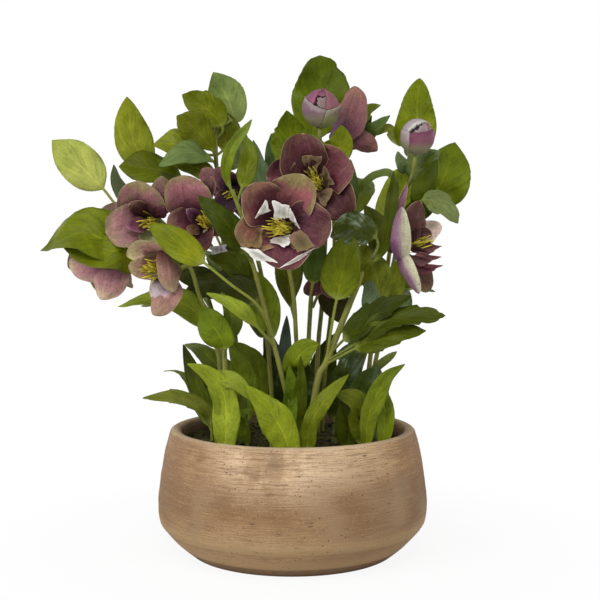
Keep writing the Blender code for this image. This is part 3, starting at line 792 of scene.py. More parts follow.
def stem_corners(name):
    """Corners of a stem's route, from its foot in the soil to its flower, bud or end."""
    corners, (foot_x, foot_y), _radius = STEMS[name]
    route = [np.array((foot_x, foot_y, height)) for height in (STEM_DEPTH, STEM_KNEE)]
    route += list(corners)
    if name in STEM_TO_FLOWER:
        flower = STEM_TO_FLOWER[name]
        ahead = unit(np.array(FLOWERS[flower][1]))
        foot = flower_foot(flower)
        route += [foot - ahead * STRAIGHT_TO_FLOWER, foot - ahead * 0.0004]
    if name in STEM_TO_BUD:
        foot, ahead = [np.array(value) for value in BUDS[STEM_TO_BUD[name]][:2]]
        foot, ahead = foot * MM, unit(ahead)
        route += [foot - ahead * STRAIGHT_TO_BUD, foot]
    return route


print(len(STEMS), "stems,", len(FLOWERS), "flowers and", len(BUDS), "buds")

# %% [markdown]
# ## Stems
# A stem is a tube that thins a little on its way up and swells where it meets its flower. Its
# green is yellower near the top, with rusty patches that the material adds.

# %% Make the stems
def make_stem(name):
    """Tube along the route: radius * (1.3 - 0.24 * share of the way + a ripple + a swelling at the
    end, if a flower sits there)."""
    corners = stem_corners(name)
    route = np.vstack([corners[0], smooth_route(corners[1:], 90)])
    share = np.linspace(0.0, 1.0, len(route))
    swelling = 0.55 * np.exp(-((1.0 - share) / 0.02) ** 2) if name in STEM_TO_FLOWER else 0.0
    radii = STEMS[name][2] * MM * (1.3 - 0.24 * share + swelling + 0.05 * ripple(route, 0.01, 31))
    tone = blend(linear(112, 112, 46), linear(124, 128, 52), share)
    make_piece("stem_" + name + "_skin", tube(route, radii, 14, tone), stem_material,
               ["stem_" + name])


def make_stalk(name, corners, radius):
    """A short stalk that no leaf or stem of the tables owns, as a tube that thins by a third."""
    route = smooth_route(np.array(corners, dtype=float) * MM, 24)
    radii = np.linspace(radius, radius * 0.67, len(route)) * MM
    make_piece(name, tube(route, radii, 12, linear(120, 126, 56)), stem_material)


for stem in STEMS:
    make_stem(stem)
make_stalk("stalk_low", [(20, -1, 244), (25, -3, 256), (30, -6, 268), tuple(flower_foot("low") / MM)], 1.7)
make_stalk("stub_front", [(-19, -70, 106), (-20, -71, 126), (-22, -72, 147)], 2.2)
print("stems made")

# %% [markdown]
# ## Flowers
# A hellebore flower is five broad, slightly pointed petals (botanists call them tepals) round a
# ring of small, torn nectaries and a tuft of yellow stamens. On this plant the petals are bent by
# hand: some stand up like a cup, some lie flat, some show their pale backs. So every petal has
# its own route from claw to tip, its own width and its own way of facing, in millimetres.

# %% Petals, flaps and tufts
# The places in these three tables, and the petals' widths, were not typed in millimetres:
# another script worked them out from places that were chosen by eye.
# corners from the claw to the tip | width | the way the inner face looks | cup | colours of the
# heart, the middle and the rim | 1 or -1 where the rim's colour lies along one edge alone
PETALS = {
    "front": table("""
-17 -72 333, -27 -86 346, -33 -95 356, -37 -97 364 | 46 | .35 -1 -.2 | .34 | 40 16 22, 88 46 50, 112 84 62
-10 -72 337, -1 -86 350, 6 -94 361, 10 -95 373 | 46 | -.2 -1 -.35 | .28 | 56 22 32, 132 78 78, 124 112 68
-6 -72 327, 7 -86 327, 21 -91 323, 36 -88 319 | 46 | -.4 -1 .1 | .34 | 38 14 24, 74 34 46, 102 70 60
-9 -72 322, -7 -86 310, -10 -92 298, -13 -91 286 | 52 | 0 -1 .4 | .22 | 46 16 26, 90 42 54, 100 58 58
-19 -72 326, -30 -85 322, -39 -92 315, -48 -91 308 | 41 | .45 -1 .2 | .36 | 54 28 30, 118 76 62, 136 112 76
"""),
    "upper": table("""
19 -24 371, 13 -38 384, 10 -46 399, 10 -46 414 | 48 | .1 -1 -.4 | .34 | 34 13 18, 70 33 38, 80 54 42
27 -24 371, 36 -38 379, 46 -46 385, 54 -46 391 | 50 | -.4 -1 -.2 | .36 | 38 14 22, 100 52 60, 112 76 62
26 -24 363, 36 -38 354, 45 -46 343, 51 -46 332 | 45 | -.35 -1 .3 | .34 | 32 12 18, 66 32 36, 88 56 46
19 -24 361, 10 -34 353, 3 -42 344, -4 -44 336 | 41 | .3 -1 .3 | .3 | 38 14 20, 72 34 40, 92 58 46
15 -22 367, 4 -30 372, -10 -36 375, -25 -38 372 | 35 | .4 -1 -.1 | .3 | 50 18 26, 90 42 54, 100 58 58
"""),
    "left": table("""
-147 -12 335, -148 -28 347, -149 -37 359, -149 -38 369 | 45 | .1 -1 -.35 | .24 | \
70 38 44, 146 104 104, 130 116 78
-133 -10 337, -129 -22 350, -127 -26 362, -128 -26 374 | 26 | -.3 -1 -.2 | .3 | 60 34 38, 118 78 84, 118 98 76
-146 -14 328, -156 -30 326, -167 -38 323, -181 -37 320 | 42 | .35 -1 .1 | .3 | \
110 54 86, 150 108 108, 138 122 92
-141 -12 324, -139 -24 315, -139 -30 307, -142 -32 301 | 25 | .1 -1 .4 | .3 | 120 122 78, 142 144 94, 146 138 98
-148 -6 338, -163 -12 339, -177 -14 338, -191 -13 335 | 22 | .2 -1 0 | .3 | 130 98 96, 150 122 114, 146 128 98
-140 -18 333, -146 -30 338, -151 -40 343, -157 -44 346 | 17 | .2 -1 -.5 | -.5 | 34 16 22, 58 28 34, 84 58 44
-138 -18 334, -132 -26 338, -125 -30 341, -119 -30 341 | 15 | -.3 -1 -.3 | -.4 | 40 16 24, 66 28 38, 70 36 38
-144 -22 325, -149 -34 326, -155 -42 326, -160 -44 325 | 15 | .2 -1 .2 | .5 | 84 40 70, 132 76 100, 140 88 110
"""),
    "left_inner": table("""
-98 -30 337, -100 -46 349, -103 -54 360, -104 -53 374 | 46 | .15 -1 -.35 | .32 | 98 46 80, 142 92 96, 128 112 74
-94 -28 339, -87 -38 351, -81 -42 361, -78 -42 373 | 21 | -.4 -1 0 | .5 | 26 14 20, 56 28 34, 96 72 62
-97 -32 331, -105 -46 329, -112 -51 327, -120 -50 325 | 30 | .3 -1 .1 | .3 | 78 38 54, 100 60 66, 112 84 66
-92 -30 328, -91 -42 318, -88 -47 309, -83 -46 301 | 29 | 0 -1 .4 | .4 | 36 16 24, 62 28 36, 94 56 50
-86 -28 331, -75 -37 331, -65 -40 329, -57 -38 326 | 29 | -.4 -1 0 | .3 | 34 16 24, 72 40 46, 104 74 60
-92 -36 333, -94 -46 336, -97 -54 339, -100 -58 341 | 13 | .2 -1 -.2 | .5 | 70 34 64, 112 66 100, 124 82 108
-90 -36 328, -92 -46 325, -95 -54 322, -98 -58 318 | 13 | .1 -1 .2 | -.5 | 52 32 30, 92 68 48, 110 86 60
"""),
    "plum": table("""
-59 -8 363, -70 -18 367, -80 -22 373, -88 -21 382 | 23 | .2 -1 0 | .3 | 44 24 38, 112 72 80, 122 88 78
-57 -8 366, -63 -20 370, -68 -24 376, -69 -24 384 | 22 | 0 -1 -.3 | .4 | 34 20 34, 72 42 56, 110 76 72
-53 -8 365, -49 -18 367, -47 -22 374, -47 -22 384 | 22 | -.3 -1 0 | .3 | 40 24 36, 118 76 82, 124 92 80
-56 -8 361, -63 -18 351, -68 -22 342, -77 -22 337 | 24 | .2 -1 .3 | .3 | 34 20 34, 54 32 46, 90 58 62
-53 -8 361, -49 -16 349, -46 -20 339, -46 -20 331 | 22 | -.2 -1 .3 | .3 | 38 22 34, 76 46 58, 104 72 70
"""),
    "left_front": table("""
-115 -54 289, -125 -68 301, -138 -78 306, -154 -80 297 | 26 | -.2 -.8 -.6 | .5 | \
162 130 100, 194 154 140, 182 170 120
-117 -56 285, -129 -70 286, -141 -80 286, -152 -83 289 | 25 | -.2 -1 .1 | .4 | \
128 92 92, 152 110 108, 146 124 92
-121 -62 306, -115 -80 293, -112 -88 279, -110 -86 264 | 25 | -.55 .8 0 | .5 | \
160 130 132, 164 140 138, 150 132 104
-116 -58 280, -119 -72 273, -124 -80 266, -132 -82 260 | 26 | -.1 -1 .2 | .25 | \
150 136 140, 182 166 172, 164 146 138
-114 -58 276, -115 -78 266, -121 -87 254, -130 -86 243 | 27 | -.1 -1 .15 | -.3 | \
160 128 120, 146 108 98, 150 124 98
"""),
    "far_left": table("""
-178 -14 296, -190 -26 291, -204 -28 289, -219 -22 292 | 32 | .2 .9 -.3 | .4 | \
96 52 66, 140 104 100, 150 138 100
-177 -14 300, -177 -28 285, -180 -32 269, -187 -26 254 | 37 | -.1 .9 -.2 | .4 | \
96 52 66, 140 104 100, 150 138 100
-178 -6 298, -169 4 289, -164 8 277, -163 6 263 | 32 | -.8 .2 -.3 | .4 | 96 52 66, 140 104 100, 150 138 100
-187 0 300, -201 16 299, -217 26 293, -228 28 281 | 34 | .3 -.8 -.5 | .4 | 96 52 66, 140 104 100, 150 138 100
-182 2 298, -187 18 285, -194 26 270, -199 26 258 | 35 | -.2 -.9 -.3 | .4 | 96 52 66, 140 104 100, 150 138 100
"""),
    "right": table("""
110 -26 281, 104 -44 299, 103 -50 320, 105 -46 344 | 20 | .3 .95 0 | .5 | 70 40 44, 110 72 70, 120 96 76 | -1
103 -26 309, 107 -44 291, 113 -52 277, 122 -49 261 | 17 | .3 .9 .3 | .5 | 70 40 44, 110 72 70, 120 96 76 | 1
104 -14 326, 103 -26 337, 106 -27 351, 112 -22 366 | 9 | .6 -.7 0 | .5 | 92 60 62, 124 92 96, 140 112 110
109 -10 306, 114 -20 322, 119 -22 336, 127 -16 349 | 27 | .3 -.9 -.4 | .35 | 40 26 24, 78 50 46, 98 74 58
111 -6 306, 124 -8 315, 136 -6 322, 149 -2 324 | 25 | .2 -.9 -.3 | .35 | 110 72 64, 200 176 160, 236 222 200
109 -10 298, 118 -20 285, 127 -24 274, 134 -22 261 | 27 | .2 -.9 .3 | .3 | 50 30 28, 88 62 50, 106 88 58
110 -14 305, 118 -24 313, 126 -30 319, 136 -30 316 | 14 | .1 -.9 .1 | .4 | 40 26 26, 64 40 38, 84 56 50
"""),
    "top": table("""
38 22 411, 48 6 424, 55 0 440, 63 6 464 | 44 | .6 .75 -.1 | .3 | 80 44 56, 112 70 70, 134 104 80
46 20 415, 58 8 412, 71 6 407, 85 10 402 | 25 | .2 .8 .5 | .4 | 80 44 56, 112 70 70, 134 104 80
40 26 420, 53 40 435, 64 50 449, 72 54 461 | 39 | .5 -.7 -.3 | .35 | 80 44 56, 112 70 70, 134 104 80
46 28 416, 59 44 417, 70 54 418, 83 58 420 | 37 | .4 -.6 .3 | .35 | 80 44 56, 112 70 70, 134 104 80
"""),
    "low": table("""
33 -10 278, 28 -18 283, 21 -21 285, 11 -21 284 | 20 | .2 -1 0 | .3 | 60 28 34, 86 48 50, 96 62 56
35 -10 275, 37 -18 268, 41 -21 263, 49 -21 261 | 20 | 0 -1 .2 | .3 | 60 28 34, 82 44 46, 96 62 56
32 -10 274, 26 -18 268, 19 -20 264, 11 -20 260 | 19 | .1 -1 .3 | .3 | 60 28 34, 76 42 42, 96 62 56
36 -10 278, 44 -18 275, 50 -20 271, 56 -20 264 | 18 | -.2 -1 0 | .3 | 60 28 34, 86 48 50, 96 62 56
"""),
}
# four corners | bulge | two colours
FLAPS = {
    "front": table("""
-35 -90 332, -24 -94 350, -20 -88 339, -28 -87 337 | -.8 | 216 213 206, 188 182 174
-18 -95 349, -3 -95 344, -2 -88 334, -16 -86 331 | -1.5 | 218 216 210, 192 187 180
-2 -96 343, 8 -90 322, 4 -88 326, -3 -88 333 | -.6 | 214 208 204, 190 182 176
-24 -86 312, -3 -86 318, 1 -92 313, -6 -96 306 | -1.4 | 190 182 176, 212 208 202
-37 -84 325, -27 -86 323, -28 -97 306, -45 -97 306 | -2 | 92 68 46, 116 94 58
-4 -93 316, 8 -97 323, 22 -104 307, 5 -103 301 | -1.6 | 116 90 70, 104 92 54
-47 -99 306, -31 -98 304, -13 -97 292, -33 -99 294 | .3 | 212 210 202, 200 196 184
-13 -97 286, 5 -98 298, 22 -97 306, 7 -98 294 | .2 | 212 208 198, 198 190 178
"""),
    "upper": table("""
9 -46 393, 29 -46 392, 23 -34 377, 12 -33 378 | -1.6 | 126 108 80, 84 66 46
31 -48 383, 40 -46 366, 33 -34 362, 25 -33 372 | -1.6 | 124 106 78, 80 62 44
40 -46 361, 31 -48 343, 22 -36 355, 27 -33 362 | -1.6 | 120 100 72, 76 56 40
3 -44 387, 5 -36 379, 2 -34 373, -6 -42 375 | -1 | 140 122 90, 80 58 44
"""),
    "left_inner": table("""
-86 -42 322, -76 -40 323, -76 -42 314, -84 -44 312 | .8 | 142 148 110, 176 178 158
-81 -38 305, -64 -36 308, -64 -36 301, -77 -38 298 | .6 | 182 174 178, 158 150 150
"""),
    "plum": table("""
-78 -18 364, -56 -16 365, -56 -14 343, -74 -16 342 | -1.5 | 30 18 28, 22 14 20
"""),
    "left_front": table("""
-143 -78 299, -126 -70 300, -126 -70 291, -140 -77 291 | -1.4 | 140 104 84, 106 70 62
-135 -80 284, -124 -72 288, -123 -74 281, -133 -80 275 | 1 | 150 148 104, 176 168 150
"""),
    "right": table("""
114 -30 302, 125 -40 312, 144 -44 306, 128 -40 296 | -1.2 | 62 36 36, 88 52 52
110 -34 295, 123 -42 300, 143 -46 296, 124 -42 286 | -1.2 | 100 64 64, 78 44 46
114 -36 287, 129 -42 289, 145 -46 288, 127 -42 277 | -.6 | 98 46 50, 76 32 38
115 -30 306, 117 -38 322, 123 -40 333, 125 -36 316 | -1 | 58 34 34, 86 52 48
"""),
}
# colours of the outer face at the base, in the middle and at the tip
OUTER_COLOURS = {
    "front": "176 150 146, 196 188 176, 202 198 182",
    "upper": "110 76 76, 130 96 88, 132 120 88",
    "left": "140 92 104, 152 118 108, 150 142 104",
    "left_inner": "126 84 88, 142 108 96, 148 138 104",
    "plum": "78 46 62, 108 72 74, 126 104 80",
    "left_front": "116 74 70, 136 88 86, 150 132 102",
    "far_left": "104 48 84, 166 100 122, 196 172 142",
    "right": "104 62 98, 140 104 124, 186 188 150",
    # The top flower's outer colours are painted lighter than its own plum: painted light on petals that face
    # down and back into shade.
    "top": "98 58 94, 122 76 82, 138 98 84",
    "low": "78 44 46, 90 56 52, 104 76 58",
}
# where the threads spring from, the middle of their tips, their spread side to side and up, count
TUFTS = {
    "front": ((-1, -78, 323), (-18, -97, 324), 10, 7, 84),
    "upper": ((27, -28, 365), (16, -48, 369), 9, 10, 70),
    "left": ((-131, -16, 330), (-143, -42, 328), 6, 5, 44),
    "left_inner": ((-78, -30, 325), (-87, -54, 333), 5, 7, 46),
    "plum": ((-56, -10, 361), (-64, -22, 355), 4, 4, 14),
    "left_front": ((-115, -56, 286), (-136, -88, 285), 6, 10, 54),
    "right": ((108, -16, 303), (131, -42, 311), 5, 4, 44),
    "far_left": ((-182, -4, 290), (-195, 4, 269), 5, 5, 18),
    "top": ((44, 24, 419), (61, 30, 428), 5, 5, 18),
}
print(sum(len(petals) for petals in PETALS.values()), "petals")


# %% Petal and flap shapes
PETAL_HALF_THICK = 0.00026
FLAP_HALF_THICK = 0.00022


def facing(axis):
    """Columns side, upward and ahead: ahead is the axis and side is level."""
    ahead = unit(np.array(axis, dtype=float))
    side = unit(np.cross((0.0, 0.0, 1.0), ahead))
    return np.column_stack([side, np.cross(ahead, side), ahead])


def fan(rows, columns):
    """Shares along and across a petal, closer together towards the tip and both edges."""
    s = 1.0 - (1.0 - np.linspace(0.0, 1.0, rows)[:, None]) ** 1.35
    u = np.sin(np.linspace(-1.0, 1.0, columns)[None, :] * math.pi / 2)
    return s, u


def petal_form(row, outer_colours, seed):
    """One petal as a sheet over its route. Half width = half the width * a claw that opens by a
    smooth step * (1 - s to the 4.2) to the 0.6. Height = cup * u squared, + ruffles and dents
    that grow towards the edge, - a crease along the middle, and a hem that curls back."""
    corners, width, face, cup, colours, *skew = row
    width, cup, face, skew = float(width), float(cup), np.array(numbers(face)), [float(way) for way in skew]
    draw = np.random.default_rng(seed)
    s, u = fan(36, 29)
    even = smooth_route(places(corners), 80)
    route = np.column_stack([np.interp(s[:, 0], np.linspace(0, 1, 80), even[:, axis]) for axis in range(3)])
    heading = unit(np.gradient(route, axis=0))
    outward = unit(face - heading * (heading @ face)[:, None])
    side = np.cross(heading, outward)
    shape = (0.30 + 0.70 * smoothstep(s, -0.05, 0.52)) * (1.0 - s ** 4.2 + 0.0004) ** 0.6 / 0.96
    lopsided = 1.0 + 0.06 * draw.uniform(-1, 1) * u
    lopsided = lopsided + 0.035 * np.sin(s * 7.0 + u + draw.uniform(0, 6.3)) * np.abs(u)
    half = width * MM / 2 * shape * lopsided
    ruffle = np.sin(s * 7.5 + 1.6 * u + draw.uniform(0, 6.3)) * s * np.abs(u) ** 1.6
    ruffle = ruffle + 0.5 * np.sin(s * 15.0 - 2.0 * u + draw.uniform(0, 6.3)) * s ** 2 * np.abs(u) ** 3
    hem_curl = smoothstep(np.abs(u), 0.8, 1.0) * smoothstep(s, 0.1, 0.4) + smoothstep(s, 0.9, 1.0)
    height = (half * (cup * u ** 2 + 0.14 * ruffle) - width * MM * 0.022 * hem_curl
              - 0.0007 * np.exp(-(u / 0.10) ** 2) * np.sin(s * math.pi))
    middle = route[:, None] + side[:, None] * (u * half)[..., None]
    dents = ripple(middle + seed, 0.013, 61) * 0.0008 * smoothstep(s, 0.1, 0.6)
    upper = middle + outward[:, None] * (height + dents + PETAL_HALF_THICK)[..., None]
    lower = middle + outward[:, None] * (height + dents - PETAL_HALF_THICK)[..., None]
    heart, inner, rim = tones(colours)
    base, outer, tip = tones(outer_colours)
    s, u = s + 0 * u, u + 0 * s
    patch = 0.5 + 0.5 * ripple(middle, 0.018, 62 + seed)
    edge = np.maximum(np.abs(u) ** 2.2 * smoothstep(s, 0.15, 0.6), s ** 2.2)
    if skew:
        edge = 1.3 * smoothstep(u * skew[0] + 0.3 * (patch - 0.5), -0.3, 0.8)
    inner_tone = blend(heart, inner, smoothstep(s + 0.15 * np.abs(u) + 0.22 * patch, 0.18, 0.72))
    inner_tone = blend(inner_tone, rim, smoothstep(edge + 0.5 * (patch - 0.5), 0.35, 0.95))
    rose = smoothstep(ripple(middle, 0.03, 90 + seed), 0.1, 0.8) * smoothstep(s, 0.2, 0.5)
    inner_tone = inner_tone * (1.0 + rose[..., None] * [0.12, -0.04, 0.06])
    hem = np.maximum(smoothstep(np.abs(u), 0.97, 0.99) * smoothstep(s, 0.12, 0.3), smoothstep(s, 0.985, 0.995))
    inner_tone = blend(inner_tone, linear(186, 166, 132), 0.75 * hem)
    outer_tone = blend(blend(base, outer, smoothstep(s + 0.2 * patch, 0.22, 0.85)), tip,
                       np.maximum(smoothstep(s, 0.6, 0.98) * (not skew), 0.7 * edge))
    return sheet(upper, lower, inner_tone, outer_tone)


def flap_form(row, seed):
    """A torn little sheet between four corners: a blend of the corners, bulging by the sine of
    both shares, with ragged and lifted edges, a painted highlight along the edges and painted
    shade in the middle of the bulge. Nectaries and folded hems are made of these."""
    corners, bulge, colours = row
    a, b, c, d = places(corners)
    draw = np.random.default_rng(seed)
    s = np.linspace(0.0, 1.0, 19)[:, None, None]
    t = np.linspace(0.0, 1.0, 19)[None, :, None]
    flat = (a * (1 - s) + b * s) * (1 - t) + (d * (1 - s) + c * s) * t
    normal = unit(np.cross(b - a + (c - d), d - a + (c - b)))
    normal = normal if normal[1] < 0 else -normal
    torn = np.sin(s * 9.0 + draw.uniform(0, 6)) * 0.06 + np.sin(s * 21.0 + draw.uniform(0, 6)) * 0.03
    flat = flat + torn * (d - a) * (t - 0.5)
    flat = flat + (np.sin(t * 8.0 + draw.uniform(0, 6)) * 0.09) * (b - a) * (s - 0.5)
    inward = (np.sin(math.pi * s) * np.sin(math.pi * t))[..., 0] ** 0.6
    crease = np.abs(s - draw.uniform(0.35, 0.65))[..., 0]
    relief = ripple(flat, 0.006, seed) * 0.0003 + float(bulge) * MM * inward
    relief = relief + 0.0022 * np.exp(-(crease / 0.08) ** 2) * inward
    flat = flat + normal * relief[..., None]
    near, far = tones(colours)
    streak = smoothstep(ripple(flat, 0.007, 63 + seed) * 0.45 + t[..., 0], 0.15, 0.85)
    # Darker in the middle of the bulge: painted shade.
    tone = blend(near, far, streak) * (1.0 - 0.35 * smoothstep(inward, 0.5, 1.0))[..., None]
    # A paler band along the edges: painted highlight.
    hem = np.maximum(np.abs(2 * s - 1), np.abs(2 * t - 1))[..., 0] ** 8
    tone = blend(tone, np.maximum(far, near) * 1.25, 0.7 * hem)
    skin = normal * FLAP_HALF_THICK
    faces_up = np.dot(np.cross(b - a, d - a), normal) < 0
    first, second = (flat + skin, flat - skin) if faces_up else (flat - skin, flat + skin)
    return sheet(first, second, tone if faces_up else tone * 0.8, tone * 0.8 if faces_up else tone)


def stamen_form(name, number):
    """A thread from the heart to its own tip: straight at first, then bent by a random sag, and
    thicker over the last third, where the anther sits."""
    spring, aim, wide, high, _count = TUFTS[name]
    draw = np.random.default_rng(900 + number * 17 + len(name))
    turn = facing(np.array(aim, dtype=float) - np.array(spring))
    start = np.array(spring) + turn @ np.append(draw.normal(0.0, 1.6, 2), 0.0)
    aside, above = draw.normal(0.0, 0.55, 2)
    finish = np.array(aim) + np.array((aside * wide, draw.normal(0.0, 2.5), above * high))
    finish = start + (finish - start) * draw.uniform(0.7, 1.1)
    sag = turn @ np.append(draw.normal(0.0, 1.6, 2), 0.0)
    share = np.linspace(0.0, 1.0, 9)[:, None]
    route = (start + (finish - start) * share + sag * np.sin(share * math.pi * 0.9)) * MM
    radii = np.array([0.32, 0.30, 0.28, 0.28, 0.30, 0.50, 0.68, 0.62, 0.28]) * MM
    thread = linear(164, 158, 64) * draw.uniform(0.5, 1.1)
    anther = linear(204, 188, 62) * draw.uniform(0.45, 1.15)
    return tube(route, radii, 6, blend(thread, anther, smoothstep(share[:, 0], 0.4, 0.65)))


def cup_form(name):
    """The fleshy cup behind the claws: a dome that flares towards the petals, and its dark middle."""
    radius = 0.0045 + 0.00012 * FLOWERS[name][2]
    outline = np.array([(0.10, -0.62), (0.45, -0.55), (0.78, -0.25), (0.98, 0.12), (0.80, 0.24), (0.45, 0.30),
                        (0.10, 0.34)])
    rings = turned(outline * radius, 20)
    tone = blend(linear(112, 96, 58), linear(66, 36, 38), smoothstep(np.linspace(0, 1, 7), 0.3, 0.7))[:, None]
    return rings_skin(flower_foot(name) + rings @ facing(FLOWERS[name][1]).T, tone)


def make_flower(name):
    """The petals as one body, the nectaries and folded hems as another and the stamens as a third."""
    seed = 11 * len(name) + len(PETALS[name])
    petals = [petal_form(row, OUTER_COLOURS[name], seed + 5 * turn) for turn, row in enumerate(PETALS[name])]
    make_piece("petals_" + name + "_skin", join(petals + [cup_form(name)]), petal_material,
               ["petals_" + name])
    if name in FLAPS:
        flaps = [flap_form(row, 40 + turn) for turn, row in enumerate(FLAPS[name])]
        make_piece("horns_" + name, join(flaps), tuft_material)
    if name in TUFTS:
        tuft = join([stamen_form(name, number) for number in range(TUFTS[name][4])])
        make_piece("stamens_" + name + "_skin", tuft, tuft_material, ["stamens_" + name])


for flower in FLOWERS:
    make_flower(flower)
print("flowers made")

# %% [markdown]
# ## Buds
# The buds are fat, nearly closed balls of petals that overlap like the leaves of a cabbage and
# leave a dark, crooked gap that looks to the front. The ball is one skin. Each petal on it is the
# area inside one or two slightly crooked lines; the petals are laid on one after the other, each
# lifted a little above the last, with a raised edge and a shadow on what lies beneath.

# %% Make the buds
# edges, each as a place right and up from the middle and the way the petal lies from it | lift |
# colours at the edge, further in and by the stalk
BUD_FOLDS = {
    "top": table("""
-4.4 4 1 .2, 0 8.8 .16 -1 | -.4 | 128 112 110, 120 98 98, 112 90 90
0 11 .12 1 | .4 | 128 82 98, 114 70 88, 120 90 88
5.6 3 1 -.1 | .6 | 142 90 98, 124 78 86, 140 118 100
-7 6 -1 .3 | .9 | 146 82 106, 122 74 98, 120 88 100
-6.6 -.2 -.5 -.86 | 1.4 | 142 128 128, 116 88 102, 126 118 94
3 -5.4 .12 -1, 4 -8 1 -.1 | 1.7 | 144 138 116, 108 92 84, 122 122 78
"""),
    "right": table("""
-2.4 4.4 .6 -.8, 11 9 -.9 -.4 | -.4 | 150 132 134, 134 112 118, 122 100 102
11.8 8 .9 .4 | .5 | 138 98 104, 122 86 94, 136 124 102
-4.8 7.8 -.6 .8 | .9 | 188 184 178, 156 144 146, 150 134 124
-9 0 -1 -.1, -9 3 -.2 -1 | 1.2 | 164 150 146, 142 126 126, 134 130 104
0 1.2 .06 -1, -9 0 1 .06 | 1.6 | 108 56 78, 116 70 86, 122 114 90
"""),
}


def bud_ball(name):
    """A ball of rings about the direction in front. Each place has two coordinates, its angle from
    the front times the radius, right and up. A petal covers the places whose distance past all its
    edges is above nought; its height is its lift + a bead along the edge - a fall behind it."""
    foot, axis, length, radius = BUDS[name]
    middle = np.array(foot) * MM + unit(np.array(axis)) * length * MM / 2
    polar = 0.01 + (math.pi - 0.02) * np.linspace(0.0, 1.0, 130) ** 0.75
    ball = turned(np.column_stack([np.sin(polar), -np.cos(polar)]), 150)
    from_front = np.arccos(np.clip(ball[..., 2], -1.0, 1.0))
    spread = radius * from_front / np.maximum(np.sin(from_front), 0.01)
    across, upward = ball[..., 0] * spread, ball[..., 1] * spread
    lift = np.full(across.shape, -2.2)
    tone = np.broadcast_to(linear(30, 12, 24), ball.shape)
    for turn, (edges, height, colours) in enumerate(BUD_FOLDS[name]):
        inside = np.full(across.shape, 99.0)
        for x, y, *way in groups(edges):
            nx, ny = way / np.linalg.norm(way)
            along = (across - x) * ny - (upward - y) * nx
            crooked = 0.7 * np.sin(along * 0.8 + turn) + 0.5 * np.sin(along * 1.9 + 2 * turn)
            crooked = crooked * (1.0 - 0.15 * turn) + 0.012 * along ** 2
            inside = np.minimum(inside, (across - x) * nx + (upward - y) * ny + crooked)
        cover = smoothstep(inside, -0.15, 0.15)
        bead = 0.5 * np.exp(-((inside - 0.5) / 0.6) ** 2) - 0.25 * smoothstep(inside, 1.0, 6.0)
        edge, inner, low = tones(colours)
        skin = blend(edge, inner, smoothstep(inside + 1.5 * ripple(ball, 0.5, 35 + turn), 0.5, 6.0))
        skin = blend(skin, low, smoothstep(-upward, 6.0, 15.0))
        skin = blend(skin, edge * 1.3, 0.6 * np.exp(-((inside - 0.3) / 0.35) ** 2))
        # Painted shadow of this petal's edge on what lies beneath it.
        tone = tone * (1.0 - 0.75 * np.exp(-(np.minimum(inside, 0.0) / 0.8) ** 2))[..., None]
        tone = blend(tone, skin, cover)
        lift = lift * (1.0 - cover) + (float(height) + bead) * cover
    size = [radius - 1.5, length / 2 - 1.3, radius - 1.5] + lift[..., None]
    egg = ball * size * (1.0 + 0.01 * ripple(ball, 0.7, 33))[..., None] * MM
    return rings_skin(middle + egg @ facing((0.0, -1.0, 0.06)).T, tone)


def make_bud(name):
    """The ball and the short green neck below."""
    foot, axis, _length, _radius = BUDS[name]
    neck = np.array([foot]) * MM + np.linspace(-1.0, 5.0, 6)[:, None] * MM * unit(np.array(axis))
    neck_form = tube(neck, np.array([1.8, 2.2, 3.2, 4.6, 6.0, 6.6]) * MM, 18, linear(130, 136, 74))
    make_piece("bud_" + name + "_skin", join([bud_ball(name), neck_form]), bud_material,
               ["bud_" + name])


for bud in BUDS:
    make_bud(bud)
print("buds made")

# %% [markdown]
# ## Leaves
# The leaves are leathery ovals on short stalks, some with a toothed edge, some folded along the
# middle. Each is one closed sheet that starts as a round stalk and flattens into a blade. The
# blade follows its own route through the air; across the route it is folded, arched and waved,
# and it puffs up slightly between its side veins, which is what makes a leaf catch the light.
# Words at the end of a row say how its blade differs: how far it is folded, where its belly
# sits, how round and how pointed it is, its teeth, how deep they go and whether it has a notch.
# A stout blade is a strap that is wide from its foot, a dull one is greyish above and a glossy
# one is smoother and carries pale patches of painted sheen.

